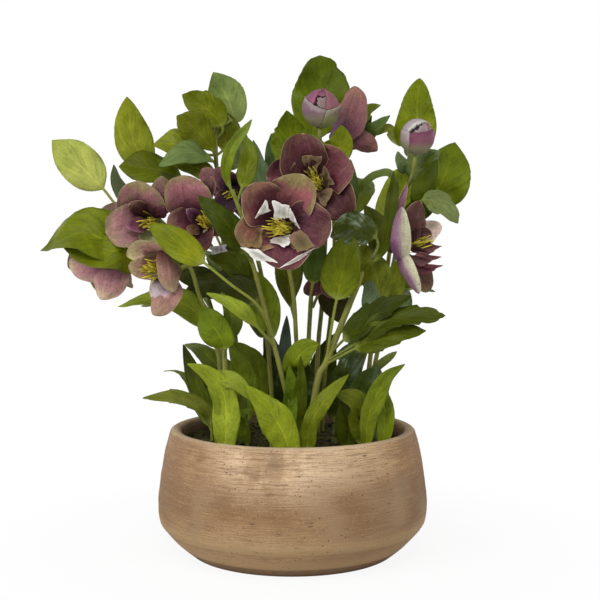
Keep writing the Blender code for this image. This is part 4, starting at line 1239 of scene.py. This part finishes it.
# %% Where each leaf goes, in millimetres
# where the stalk starts, as a stem and a height or as a place on the soil | corners up to the tip |
# width | the way the upper face looks | share that is stalk | colours by the stalk and at the tip |
# what is special about the blade, each with its value. Further rows are blades on the same stalk.
LEAVES = {
    "left_upper": table("""
left 314 | -170 10 341, -190 6 363, -214 2 388, -240 5 411 | 42 | -.3 -.9 .4 | .56 | 158 164 96, 142 150 78 | \
fold .08
"""),
    "left_lower": table("""
far_left 270 | -169 -26 304, -205 -34 318, -246 -25 301 | 52 | -.1 -.75 .65 | .22 | 104 114 16, 90 100 10 | \
fold .2 point .4 belly 1.1
far_left 270 | -162 -34 300, -190 -40 298, -222 -40 306 | 40 | -.1 -.9 .4 | .2 | 104 112 16, 88 98 10
"""),
    "left_tall": table("""
left_leafy 320 | -100 36 345, -137 34 372, -156 26 398, -164 18 425, -166 12 455 | 38 | .1 -1 .1 | .55 | \
140 148 54, 114 122 28 | fold .1
"""),
    "left_middle": table("""
left_leafy 360 | -100 12 371, -125 2 379, -150 -2 384, -173 0 385 | 44 | 0 -.8 .6 | .4 | 74 84 2, 80 88 4
"""),
    "left_blue": table("""
left_leafy 380 | -80 -8 391, -104 -18 397, -131 -18 384 | 30 | 0 -.7 .7 | .3 | 88 104 54, 98 114 64 | dull 1
"""),
    "upper_blue": table("""
left_leafy 424 | -61 26 436, -69 34 460, -81 34 482 | 40 | .2 -1 .1 | .25 | 112 126 66, 102 118 58 | dull 1
"""),
    "long_upright": table("""
long_leafy 354 | -63 -60 375, -58 -62 398, -38 -58 426 | 13 | .5 -.8 .1 | .15 | 108 122 28, 104 120 52 | \
fold .45
"""),
    "top_round": table("""
bud_top 360 | 19 34 400, 22 55 432, 28 60 466, 28 55 502 | 60 | 0 -1 .1 | .42 | 90 104 10, 72 86 8 | \
notch .16 round .5 point 0 belly 1.1
"""),
    "top_left": table("""
bud_top 370 | 8 22 393, -2 18 418, -6 10 441 | 42 | 0 -1 .2 | .3 | 104 116 20, 90 104 16 | teeth 6
bud_top 355 | 4 20 384, -12 16 402, -20 12 419 | 27 | -.1 -1 .2 | .3 | 104 118 30, 94 108 26 | teeth 4
"""),
    "right_top": table("""
right_leafy 402 | 124 14 425, 125 12 450, 127 10 473 | 41 | 0 -1 .1 | .03 | 112 123 22, 94 106 12 | \
belly .62 point .1 round .58
"""),
    "right_light": table("""
right_leafy 335 | 134 24 342, 151 12 372, 162 5 409 | 56 | .2 -1 .1 | .3 | 108 122 26, 94 108 22
"""),
    "right_narrow": table("""
main_right 282 | 88 -40 306, 95 -36 345, 98 -34 379 | 14 | .3 -.9 0 | .15 | 65 74 5, 59 68 6 | fold .4
"""),
    "middle_light": table("""
main_right 197 | 39 -58 238, 44 -60 264, 50 -64 291, 56 -60 316 | 38 | 0 -1 .2 | .5 | 97 107 12, 72 80 4 | \
belly .8 round .5 point 0
"""),
    "center_dark": table("""
long_leafy 292 | -46 -64 303, -64 -76 330, -88 -74 354 | 26 | .3 -.9 .3 | .2 | 57 66 4, 55 68 7 | fold .1
"""),
    "notched": table("""
long_leafy 218 | -31 -68 249, -58 -84 272, -84 -92 294, -108 -96 312, -131 -94 327 | 29 | .2 -.8 .5 | .66 | \
118 124 24, 102 112 16 | fold .14 belly .7 round .48
"""),
    "left_shade": table("""
plum 262 | -56 -22 272, -84 -14 268, -114 -12 252 | 28 | .1 -.8 .6 | .2 | 53 58 8, 49 52 8
"""),
    "serrated": table("""
main_right 197 | 60 -66 214, 92 -80 238, 143 -82 242 | 30 | 0 -.8 .6 | .3 | 56 65 8, 62 71 10 | \
teeth 5 belly 1.15 deep .3
main_right 203 | 56 -62 224, 82 -72 246, 112 -76 260 | 28 | -.2 -.9 .5 | .2 | 51 60 6, 45 54 6 | teeth 5 deep .3
main_right 193 | 62 -70 211, 92 -84 225, 125 -86 228 | 31 | .1 -.8 .6 | .35 | 71 80 13, 73 82 15 | teeth 4
"""),
    "rim_left": table("""
-79 -24 | -84 -26 142, -112 -26 157, -148 -24 156 | 16 | 0 -.85 .5 | .2 | 88 96 30, 104 110 44 | teeth 4
"""),
    "foot_left": table("""
-64 -78 | -62 -80 150, -66 -82 172, -80 -84 188, -98 -84 197 | 25 | -.2 -.9 .5 | .05 | \
136 150 48, 124 137 38 | stout .1
-60 -74 | -64 -78 155, -70 -82 178, -54 -88 182, -30 -90 158 | 21 | .1 -.9 .5 | .05 | \
126 138 46, 118 130 44 | stout .1
"""),
    "foot_front": table("""
0 -95 | -8 -97 134, -22 -98 156, -42 -96 178 | 30 | -.2 -.9 .4 | .05 | 124 136 34, 120 132 32 | stout .1
"""),
    "foot_middle": table("""
13 -84 | 17 -86 140, 32 -86 165, 53 -84 187 | 18 | .3 -.9 .3 | .05 | 104 114 24, 102 112 26 | stout .1
"""),
    "foot_right": table("""
70 -70 | 71 -72 140, 78 -76 164, 88 -78 183, 106 -78 196 | 19 | .2 -.9 .3 | .05 | 104 114 22, 92 106 22 | \
fold .4
"""),
    "back_left": table("""
-52 66 | -70 82 157, -98 108 187, -122 136 194 | 28 | -.3 -.2 .9 | .1 | 84 98 24, 94 108 30
"""),
    "back_right": table("""
48 68 | 58 84 165, 80 112 210, 98 140 222 | 28 | .2 -.3 .9 | .1 | 104 118 34, 96 110 28
"""),
    "back_upper_left": table("""
left_leafy 300 | -88 60 332, -104 92 358, -112 124 364 | 34 | -.1 -.2 1 | .3 | 92 106 26, 84 98 24 | teeth 5
"""),
    "back_upper_right": table("""
top 310 | 64 62 344, 76 92 370, 82 124 378 | 28 | .1 -.2 1 | .3 | 104 118 34, 90 104 26
"""),
}
print(len(LEAVES), "leaves with", sum(len(rows) for rows in LEAVES.values()), "blades")

# %% [markdown]
# ## The crowd of smaller leaves
# Between the main leaves the real plant is filled with smaller ones: undersides turned to the
# front, half hidden dark blades, young pale shoots at the foot, and a back that is as leafy as
# the front. They share one function with the main leaves, and each group becomes one piece.

# %% The crowd, group by group
# cells as for the leaves above
CROWD = {
    "upper_left": table("""
left 318 | -160 26 345, -178 26 368, -182 26 388 | 16 | 0 -1 .2 | .35 | 96 106 66, 104 112 78 | dull 1
left_leafy 398 | -90 10 398, -115 6 407, -139 5 406 | 31 | 0 -.9 .5 | .3 | 124 130 44, 112 120 30
left_leafy 366 | -84 -2 376, -98 -4 384, -120 -2 387 | 20 | 0 -.9 .4 | .2 | 124 134 44, 116 126 36
left_leafy 388 | -80 -2 402, -95 -8 420, -114 -10 434 | 34 | 0 -1 .1 | .3 | 90 96 10, 84 90 8 | \
teeth 5 belly 1.3
left_leafy 414 | -70 8 424, -88 6 444, -110 5 456 | 35 | 0 -1 .2 | .25 | 94 102 10, 88 96 6 | teeth 4
left_leafy 396 | -70 22 404, -66 24 424, -66 24 440 | 32 | .2 -1 0 | .2 | 104 108 22, 82 92 24
long_leafy 350 | -46 -30 372, -42 -28 395, -44 -24 412 | 20 | 0 -1 0 | .3 | 102 112 20, 90 102 26
center 290 | -10 30 330, -30 34 365, -38 32 392, -40 30 413 | 30 | -.2 -1 .1 | .5 | 76 96 62, 92 112 76 | \
dull 1 teeth 4
center 300 | -14 34 368, -20 34 398, -22 34 420 | 22 | 0 -1 .1 | .5 | 69 84 27, 72 92 62 | teeth 3
"""),
    # The rows bud_right 310 and main_right 290 are painted lighter than their own green: painted light on
    # blades that lie in shade.
    "upper_right": table("""
bud_top 380 | 36 -14 392, 46 -18 404, 48 -20 424 | 27 | 0 -1 .1 | .25 | 122 130 30, 102 112 18
top 395 | 66 24 430, 76 24 443, 89 20 447 | 15 | 0 -1 .4 | .35 | 118 130 52, 108 122 44
top 400 | 68 20 412, 82 14 424, 98 14 436 | 19 | -.3 -1 .3 | .25 | 71 84 22, 82 102 58 | teeth 4 fold .3
top 392 | 66 24 412, 74 24 426, 80 22 437 | 13 | 0 -1 .2 | .3 | 57 72 25, 65 80 29
right_leafy 400 | 104 24 414, 96 20 424, 82 18 417 | 11 | 0 -1 .3 | .2 | 140 146 74, 132 140 62
right_leafy 380 | 112 10 384, 107 6 392, 105 4 400 | 14 | 0 -1 .1 | .2 | 104 122 72, 110 128 84 | dull 1
right_leafy 370 | 122 8 380, 134 4 391, 147 0 400 | 26 | 0 -1 .3 | .2 | 106 124 72, 112 128 84 | dull 1
bud_right 335 | 128 -6 344, 131 -12 366, 142 -16 391 | 26 | -.1 -1 0 | .12 | 69 78 6, 61 72 7
bud_right 330 | 128 -14 351, 144 -22 347, 154 -23 339, 162 -22 328 | 25 | .1 -1 .2 | .5 | \
100 112 60, 108 118 70 | dull 1 teeth 3
bud_right 310 | 106 22 345, 114 24 370, 126 24 390 | 36 | 0 -1 .1 | .3 | 158 170 56, 142 156 48
main_right 290 | 90 6 325, 97 14 352, 103 16 382 | 22 | -.2 -1 0 | .35 | 166 176 72, 150 162 62
bud_right 345 | 98 -10 374, 84 -12 376, 70 -14 366, 59 -14 352 | 10 | 0 -.8 .6 | .15 | 104 120 72, 71 84 26 | \
fold .3
top 330 | 58 10 345, 60 6 362, 58 4 392 | 12 | 0 -1 0 | .3 | 74 92 52, 84 102 62
"""),
    "middle": table("""
main_right 284 | 82 -46 306, 76 -52 318, 58 -58 323, 36 -58 315 | 33 | 0 -.95 .3 | .42 | 49 58 9, 53 62 14 | \
glossy 1
main_right 284 | 84 -34 318, 80 -28 330, 70 -26 346 | 22 | 0 -1 .2 | .25 | 71 76 8, 63 70 11
main_right 262 | 64 -42 280, 67 -44 294, 70 -44 310 | 24 | .1 -1 .1 | .1 | 80 86 12, 92 98 20
center 225 | 17 -20 250, 20 -36 272, 23 -42 294, 26 -46 314 | 24 | 0 -1 0 | .55 | 61 78 23, 55 74 24
bud_right 214 | 86 -20 238, 86 -26 258, 82 -28 280, 76 -28 302 | 32 | -.1 -1 .1 | .45 | 116 124 44, 92 102 22
bud_right 222 | 92 -20 250, 100 -24 272, 105 -26 294 | 24 | .2 -1 .1 | .4 | 112 120 38, 104 112 30
main_right 222 | 74 -36 240, 77 -30 256, 73 -26 278 | 20 | 0 -1 .1 | .2 | 96 112 78, 104 118 86 | dull 1
right_leafy 215 | 100 8 230, 108 8 244, 118 6 260 | 24 | 0 -1 .3 | .3 | 108 124 82, 114 130 88 | dull 1
front 230 | -3 -22 256, -4 -24 276, -3 -26 304 | 29 | 0 -1 .1 | .2 | 71 72 7, 76 84 22 | fold .4 belly 1.5
top 266 | 40 16 262, 42 8 250, 46 2 229 | 32 | 0 -1 .1 | .1 | 62 58 32, 64 56 30 | fold .3
plum 255 | -42 -18 272, -60 -26 290, -82 -26 296 | 26 | 0 -.9 .3 | .25 | 72 84 18, 71 78 11
long_leafy 210 | -42 -74 240, -60 -78 253, -80 -80 263 | 15 | 0 -.8 .6 | .35 | 122 134 46, 128 142 54 | fold .3
long_leafy 190 | -22 -22 222, -26 -24 250, -36 -24 282 | 30 | 0 -1 .1 | .3 | 110 122 34, 96 112 24
plum 240 | -40 0 262, -56 6 284, -66 10 312 | 30 | 0 -1 .1 | .3 | 57 64 12, 49 58 12
long_leafy 236 | -46 -34 262, -64 -30 264, -84 -26 256 | 28 | 0 -.9 .3 | .25 | 51 58 12, 47 54 10
left_inner 250 | -78 -2 262, -94 -6 272, -116 -6 276 | 26 | 0 -.9 .4 | .3 | 51 58 12, 47 52 11
long_leafy 214 | -30 -22 220, -38 -18 231, -47 -16 238 | 12 | 0 -.9 .4 | .3 | 61 70 24, 55 62 25
center 270 | 18 26 290, 10 34 312, 0 36 336 | 34 | 0 -1 .2 | .3 | 65 74 12, 57 66 13
"""),
    "lower_left": table("""
left_front 212 | -88 -36 236, -110 -38 252, -140 -38 254, -169 -36 247 | 27 | 0 -.8 .6 | .15 | \
112 124 36, 122 134 52 | belly .7
left_front 198 | -66 -58 214, -76 -64 232, -87 -62 250 | 30 | .1 -1 .1 | .2 | 104 120 24, 92 108 22 | fold .25
left_front 205 | -58 -52 226, -60 -54 244, -68 -54 262 | 18 | .5 -.9 0 | .2 | 84 98 28, 92 104 34
-74 8 | -84 2 140, -98 0 170, -110 0 207 | 18 | .2 -1 0 | .2 | 86 98 24, 59 66 28 | fold .3
-76 -6 | -84 -8 140, -96 -10 168, -107 -10 197 | 15 | .1 -1 .1 | .15 | 92 106 20, 61 68 24
-45 -10 | -47 -14 170, -52 -16 190, -63 -18 207 | 27 | 0 -1 .1 | .2 | 84 98 22, 94 108 28
-30 10 | -34 8 180, -48 4 200, -63 2 209 | 19 | 0 -.9 .5 | .3 | 112 124 40, 104 118 36
-50 -35 | -52 -40 140, -50 -42 155, -46 -42 168 | 18 | 0 -1 0 | .1 | 69 74 14, 63 70 12
-42 -52 | -48 -60 135, -50 -64 145, -38 -66 152 | 13 | 0 -.8 .6 | .1 | 104 120 34, 110 126 42
-8 20 | -9 20 180, -8 18 205, -6 16 235 | 15 | 0 -1 0 | .3 | 84 98 86, 96 108 98 | dull 1
-14 26 | -16 24 180, -22 22 205, -33 20 228 | 15 | 0 -1 .1 | .3 | 78 92 74, 90 104 90 | dull 1
"""),
    "lower_middle": table("""
-10 10 | -12 4 150, -14 0 175, -21 -4 196 | 26 | 0 -1 .2 | .15 | 49 60 19, 55 66 25 | glossy 1
16 -10 | 14 -16 140, 11 -20 165, 13 -22 192 | 36 | 0 -1 .2 | .15 | 47 60 23, 55 68 28 | glossy 1
40 -5 | 46 -12 150, 56 -16 180, 70 -18 204 | 32 | 0 -1 .2 | .2 | 51 64 22, 63 76 28 | glossy 1
main_right 202 | 46 -40 199, 58 -40 206, 73 -36 205 | 12 | 0 -.8 .6 | .15 | 72 88 58, 84 98 72 | fold .3
-2 -30 | -1 -36 150, -1 -38 168, -3 -40 190 | 18 | 0 -1 .1 | .1 | 78 98 18, 88 108 22
front 178 | 1 -38 190, 12 -42 206, 26 -42 212 | 25 | 0 -1 .2 | .1 | 96 108 20, 106 120 26 | belly 1.1
-4 -60 | -4 -62 132, -2 -62 145, 4 -60 162 | 14 | 0 -1 .2 | .1 | 96 112 26, 86 104 24
-14 30 | -16 36 160, -20 36 190, -30 34 214 | 30 | 0 -1 .2 | .2 | 55 66 18, 63 74 23
26 26 | 30 30 160, 34 30 190, 44 28 216 | 30 | 0 -1 .2 | .2 | 57 68 18, 65 78 22
"""),
    "lower_right": table("""
66 -62 | 66 -66 140, 60 -72 160, 40 -76 168 | 27 | 0 -.9 .5 | .1 | 98 106 30, 88 96 24 | fold .3
52 -58 | 54 -62 130, 52 -66 144, 46 -68 160 | 26 | 0 -1 .2 | .05 | 66 76 14, 62 70 8 | fold .3
6 -34 | 8 -38 140, 9 -40 168, 8 -42 200 | 12 | 0 -1 .1 | .1 | 74 82 12, 66 74 8 | fold .3
84 -38 | 80 -42 140, 84 -44 165, 81 -42 192 | 21 | .1 -1 0 | .1 | 92 106 72, 84 98 66 | dull 1
86 -62 | 88 -64 136, 88 -66 156, 82 -66 178 | 17 | 0 -1 .1 | .05 | 108 122 30, 96 112 26 | fold .4
bud_right 176 | 84 -20 186, 93 -22 194, 103 -22 202 | 9 | 0 -.9 .5 | .2 | 118 130 66, 122 134 76
60 -20 | 64 -24 150, 70 -28 172, 84 -28 188 | 24 | 0 -1 .2 | .15 | 67 78 19, 72 86 44
80 20 | 84 26 150, 86 40 172, 88 56 182 | 22 | .2 -.9 .4 | .15 | 84 100 30, 92 108 36
"""),
    "back": table("""
left 240 | -100 40 262, -128 60 285, -150 72 300 | 32 | -.4 .3 .9 | .3 | 100 114 28, 88 102 24
left_leafy 250 | -72 60 270, -84 90 290, -100 112 300 | 30 | -.2 .4 .9 | .25 | 84 98 22, 92 106 28 | teeth 5
center 270 | 4 40 290, -6 76 302, -12 108 302 | 32 | 0 .3 1 | .3 | 96 110 28, 88 102 24
center 290 | 14 40 320, 8 70 350, 0 92 372 | 34 | 0 .7 .6 | .3 | 104 118 32, 92 106 26 | teeth 5
right_leafy 240 | 110 48 262, 126 70 285, 136 88 295 | 32 | .3 .3 .9 | .3 | 88 102 26, 96 110 30
right_leafy 320 | 118 60 345, 126 84 370, 130 98 390 | 30 | .2 .7 .6 | .3 | 104 120 34, 92 108 28
top 240 | 60 60 262, 76 90 270, 92 116 262 | 30 | .2 .3 .9 | .3 | 82 96 22, 88 102 26 | teeth 5
left_inner 220 | -60 50 240, -50 84 246, -44 112 238 | 28 | 0 .3 1 | .3 | 94 108 28, 100 114 32
-4 82 | -2 96 160, -6 112 185, -12 128 192 | 24 | 0 .2 1 | .1 | 112 126 38, 104 118 34
-84 40 | -100 54 150, -120 66 170, -138 74 172 | 22 | -.3 .1 .9 | .1 | 104 118 32, 96 110 30
70 60 | 78 70 142, 88 84 154, 96 96 150 | 22 | .3 .1 .9 | .1 | 104 118 32, 96 110 30
plum 300 | -30 20 330, -28 50 350, -24 78 362 | 32 | 0 .5 .8 | .3 | 90 104 26, 84 98 24
far_left 232 | -104 16 236, -130 34 246, -158 46 242 | 26 | -.3 .2 .9 | .3 | 96 110 30, 104 118 36
bud_right 232 | 100 12 250, 122 24 262, 146 30 258 | 26 | .3 .2 .9 | .3 | 96 110 28, 104 118 34
left_leafy 380 | -66 50 392, -56 74 410, -50 90 424 | 30 | .1 .8 .5 | .3 | 100 114 30, 92 106 26
bud_top 352 | 30 50 372, 30 78 396, 30 96 418 | 30 | 0 .8 .5 | .3 | 92 106 26, 98 112 30
right_leafy 390 | 124 50 402, 132 66 420, 138 74 436 | 26 | .3 .8 .4 | .3 | 100 116 30, 92 108 28
"""),
}
print(sum(len(group) for group in CROWD.values()), "smaller leaves in", len(CROWD), "groups")


# %% The shape of a leaf
def leaf_root(origin, following):
    """Where a leaf starts: just inside the skin of its stem, or in the soil."""
    first, second = origin.split()
    if first in STEMS:
        route = smooth_route(stem_corners(first)[1:], 60)
        nearest = 1 + int(np.argmin(np.abs(route[1:, 2] - float(second) * MM)))
        along = unit(route[nearest] - route[nearest - 1])
        outward = following - route[nearest]
        outward = unit(outward - along * (outward @ along))
        return route[nearest] + outward * STEMS[first][2] * MM * 0.4
    x, y = float(first) * MM, float(second) * MM
    return np.array([x, y, soil_height(math.hypot(x, y)) - 0.002])


# how a blade is made where its row doesn't say otherwise
USUAL = {"fold": 0.18, "belly": 0.85, "round": 0.66, "point": 0.2, "deep": 0.17, "stout": 0.0}
NOTCH_PLACE = 0.86
STALK_HALF, STRAP_HALF = 1.35 * MM, 2.6 * MM


def leaf_form(row, rows=52, columns=17):
    """A leaf as one sheet over its route. Half width = width / 2 * sine(pi * a to the belly) to the
    round, where a runs along the blade, cut by teeth or a notch. Height = fold * |u| + arch * u
    squared + waves at the edge + puffs between the side veins. The stalk is as thick as wide."""
    origin, corners, width, face, stalk, colours, *ways = row
    corners, face = places(corners), np.array(numbers(face))
    width, stalk = float(width), float(stalk)
    near, far = tones(colours)
    words = " ".join(ways).split()
    ways = {**USUAL, **dict(zip(words[::2], map(float, words[1::2])))}
    draw = np.random.default_rng(int(np.abs(corners).sum() * 1e5) % 99991)
    root = leaf_root(origin, corners[0])
    route = smooth_route(np.vstack([root, corners]), rows)
    share = np.linspace(0.0, 1.0, rows)[:, None]
    u = np.linspace(-1.0, 1.0, columns)[None, :]
    heading = unit(np.gradient(route, axis=0))
    outward = unit(face - heading * (heading @ face)[:, None])
    strap = ways["stout"]
    twist = draw.uniform(-0.28, 0.28) * np.sin(share * 4.5 + draw.uniform(0, 6.3)) * share
    twist = twist * (3.0 if strap else 1.0)
    outward = outward * np.cos(twist) + np.cross(heading, outward) * np.sin(twist)
    side = np.cross(heading, outward)
    a = np.clip((share - stalk) / (1.0 - stalk), 0.0, 1.0)
    oval = np.sin(math.pi * (strap + (1.0 - strap) * a) ** ways["belly"]).clip(0.0)
    oval = oval ** (ways["round"] + ways["point"] * a ** 4)
    uneven = 1.0 + 0.07 * draw.uniform(-1, 1) * u + 0.03 * np.sin(a * 9.0 + draw.uniform(0, 6))
    uneven = uneven - 0.035 * ((a * 11.0 + draw.uniform(0, 1)) % 1.0) * smoothstep(a, 0.4, 0.6)
    if "teeth" in ways:
        tooth = (a * ways["teeth"] + 0.35) % 1.0
        uneven = uneven * (1.0 - ways["deep"] * (1.0 - tooth) * smoothstep(a, 0.25, 0.5) * (a < 0.97))
    if "notch" in ways:
        cut = np.exp(-((a - NOTCH_PLACE) / 0.035) ** 2) * ways["notch"]
        uneven = uneven * np.where(u > 0, 1.0 - cut, 1.0)
    stalk_half = STRAP_HALF if strap else STALK_HALF
    least = stalk_half * (1.0 - a) + 0.0003 * a
    half = least + np.maximum(width * MM / 2 * uneven - least, 0.0) * oval
    flat = smoothstep(a, 0.0, 0.10)
    folded = ways["fold"] * (np.sqrt(u ** 2 + 0.02) - 0.14)
    lift = half * (folded + draw.uniform(-0.12, 0.16) * u ** 2)
    wave = np.sin(a * draw.uniform(6, 11) + 1.5 * u + draw.uniform(0, 6))
    lift = lift + half * (0.34 if strap else 0.15) * np.abs(u) ** 1.5 * wave
    lift = lift + ripple(route[:, None] + side[:, None] * (u * half)[..., None], 0.022, 47) * 0.0011
    puff = 0.5 - 0.5 * np.cos(2 * math.pi * (share * VEIN_PAIRS - np.abs(u) * VEIN_SLANT))
    lift = (lift + width * 0.011 * MM * puff * np.abs(u) * (1.2 - np.abs(u))) * flat
    round_half = stalk_half * np.sqrt(np.clip(1.0 - u ** 2, 0.0, 1.0)) * (1.0 - 0.35 * share)
    rib = 0.0006 * np.exp(-(u / 0.1) ** 2) * (1.0 - a)
    skin = 0.00016 + 0.00012 * (1.0 - u ** 2)
    above = np.maximum(round_half * (1.0 - flat), 0.00010) + skin * flat
    below = np.maximum(round_half * (1.0 - flat), 0.00010) + (skin + rib) * flat
    groove = 0.0003 * np.exp(-(u / 0.07) ** 2) * flat * (1.0 - a)
    middle = route[:, None] + side[:, None] * (u * half)[..., None]
    upper = middle + outward[:, None] * (lift + above - groove)[..., None]
    lower = middle + outward[:, None] * (lift - below)[..., None]
    tone = blend(near, far, smoothstep(a, 0.1, 0.95) + 0 * u)
    tone = tone if "dull" in ways else tone * [1.0, 1.0, 0.7]
    patches = 1.0 + 0.10 * ripple(upper, 0.02, 41)
    tone = tone * (patches * (1.0 - 0.12 * smoothstep(np.abs(u), 0.75, 1.0)))[..., None]
    tone = blend(linear(134, 142, 66), tone, 0.35 + 0.65 * flat + 0 * u)
    beneath = blend(tone, linear(128, 138, 96), 0.55 + 0 * (u * share))
    form = sheet(upper, lower, tone, beneath)
    if "dull" in ways:
        form["under"] = 1.0 - form["under"] * 0.5
    # A glossy blade gets an under value below nought, which leaf_skin reads as less roughness and painted
    # sheen.
    if "glossy" in ways:
        form["under"] = form["under"] - 0.7
    return form


for name, rows in LEAVES.items():
    blades = join([leaf_form(row) for row in rows])
    make_piece("leaf_" + name + "_skin", blades, leaf_material, ["leaf_" + name])
for name, rows in CROWD.items():
    make_piece("crowd_" + name, join([leaf_form(row, 46, 15) for row in rows]), leaf_material)
print("leaves made")

# %% [markdown]
# ## Floor, light and camera
# The plant stands on a plain white floor under large, soft lamps: one on each side, one high in
# front, and two weaker ones behind that pick out the edges of the bowl. Soft lamps keep the
# shadows between the leaves open and leave only a faint shadow at the foot of the bowl. The
# camera stands level with the flowers and looks slightly down.

# %% Floor
def make_floor():
    """A wide white plane that shows its shadows faintly."""
    size = 30.0
    mesh = bpy.data.meshes.new("floor")
    mesh.from_pydata([(-size, -size, 0.0), (size, -size, 0.0), (size, size, 0.0), (-size, size, 0.0)],
                     [], [(0, 1, 2, 3)])
    material, tree, shader = new_material("white_floor", 0.9, 0.1)
    shader.inputs["Base Color"].default_value = (0.86, 0.86, 0.86, 1.0)
    glow = add_node(tree, "ShaderNodeEmission", {"Color": (1.0, 1.0, 1.0, 1.0), "Strength": 1.0})
    seen = add_node(tree, "ShaderNodeLightPath").outputs["Is Camera Ray"]
    place = add_node(tree, "ShaderNodeTexCoord").outputs["Object"]
    far = add_node(tree, "ShaderNodeVectorMath", {0: place}, operation="LENGTH").outputs["Value"]
    share = times(tree, seen, ramp(tree, far, 0.14, 0.42, 0.9, 1.0))
    both = add_node(tree, "ShaderNodeMixShader", {0: share, 1: shader.outputs[0], 2: glow.outputs[0]})
    tree.links.new(both.outputs[0], tree.nodes["Material Output"].inputs["Surface"])
    mesh.materials.append(material)
    return put("floor", mesh)


make_floor()


# %% Lamps and surroundings
# place, height of the point it faces, size and power
LAMPS = {
    "lamp_left": ((-1.3, -1.2, 1.0), 0.25, 1.1, 17.0),
    "lamp_right": ((1.4, -1.0, 0.8), 0.25, 1.0, 6.6),
    "lamp_high": ((-0.1, -1.25, 1.5), 0.25, 1.0, 15.0),
    "lamp_back_left": ((-1.5, 0.9, 0.7), 0.2, 1.0, 9.0),
    "lamp_back_right": ((1.5, 0.9, 0.7), 0.2, 1.0, 6.0),
}
MIRRORED = 0.4
DIM_SKY = 0.28


def add_lamp(name, place, aim_height, size, power):
    """A square soft lamp that faces a point above the middle of the floor."""
    light = bpy.data.lights.new(name, "AREA")
    light.size = size
    light.energy = power
    lamp = put(name, light)
    lamp.location = place
    x, y, rise = np.array(place) - (0.0, 0.0, aim_height)
    lamp.rotation_euler = (math.atan2(math.hypot(x, y), rise), 0.0, math.atan2(x, -y))


def light_sky():
    """A white sky at full strength for what is seen straight on, dimmed for what it lights."""
    world = bpy.data.worlds.new("surroundings")
    world.use_nodes = True
    bpy.context.scene.world = world
    tree = world.node_tree
    ray = add_node(tree, "ShaderNodeLightPath").outputs
    mirrored = times(tree, ray["Is Glossy Ray"], MIRRORED)
    seen = calculate(tree, "MAXIMUM", mirrored, ray["Is Transmission Ray"])
    plain = calculate(tree, "MAXIMUM", ray["Is Camera Ray"], seen)
    strength = calculate(tree, "ADD", times(tree, plain, 1.0 - DIM_SKY), DIM_SKY)
    fill(tree, tree.nodes["Background"], {"Color": (1.0, 1.0, 1.0, 1.0), "Strength": strength})


for name, values in LAMPS.items():
    add_lamp(name, *values)
light_sky()
print(len(LAMPS), "lamps")

# %% Camera
camera_data = bpy.data.cameras.new("camera")
camera_data.lens = 72.0
camera_data.sensor_width = 36.0
camera = put("camera", camera_data)
camera.location = (0.0074, -1.2, 0.325)
camera.rotation_euler = (math.radians(86.5), 0.0, 0.0)
bpy.context.scene.camera = camera
bpy.context.scene.view_settings.view_transform = "Standard"
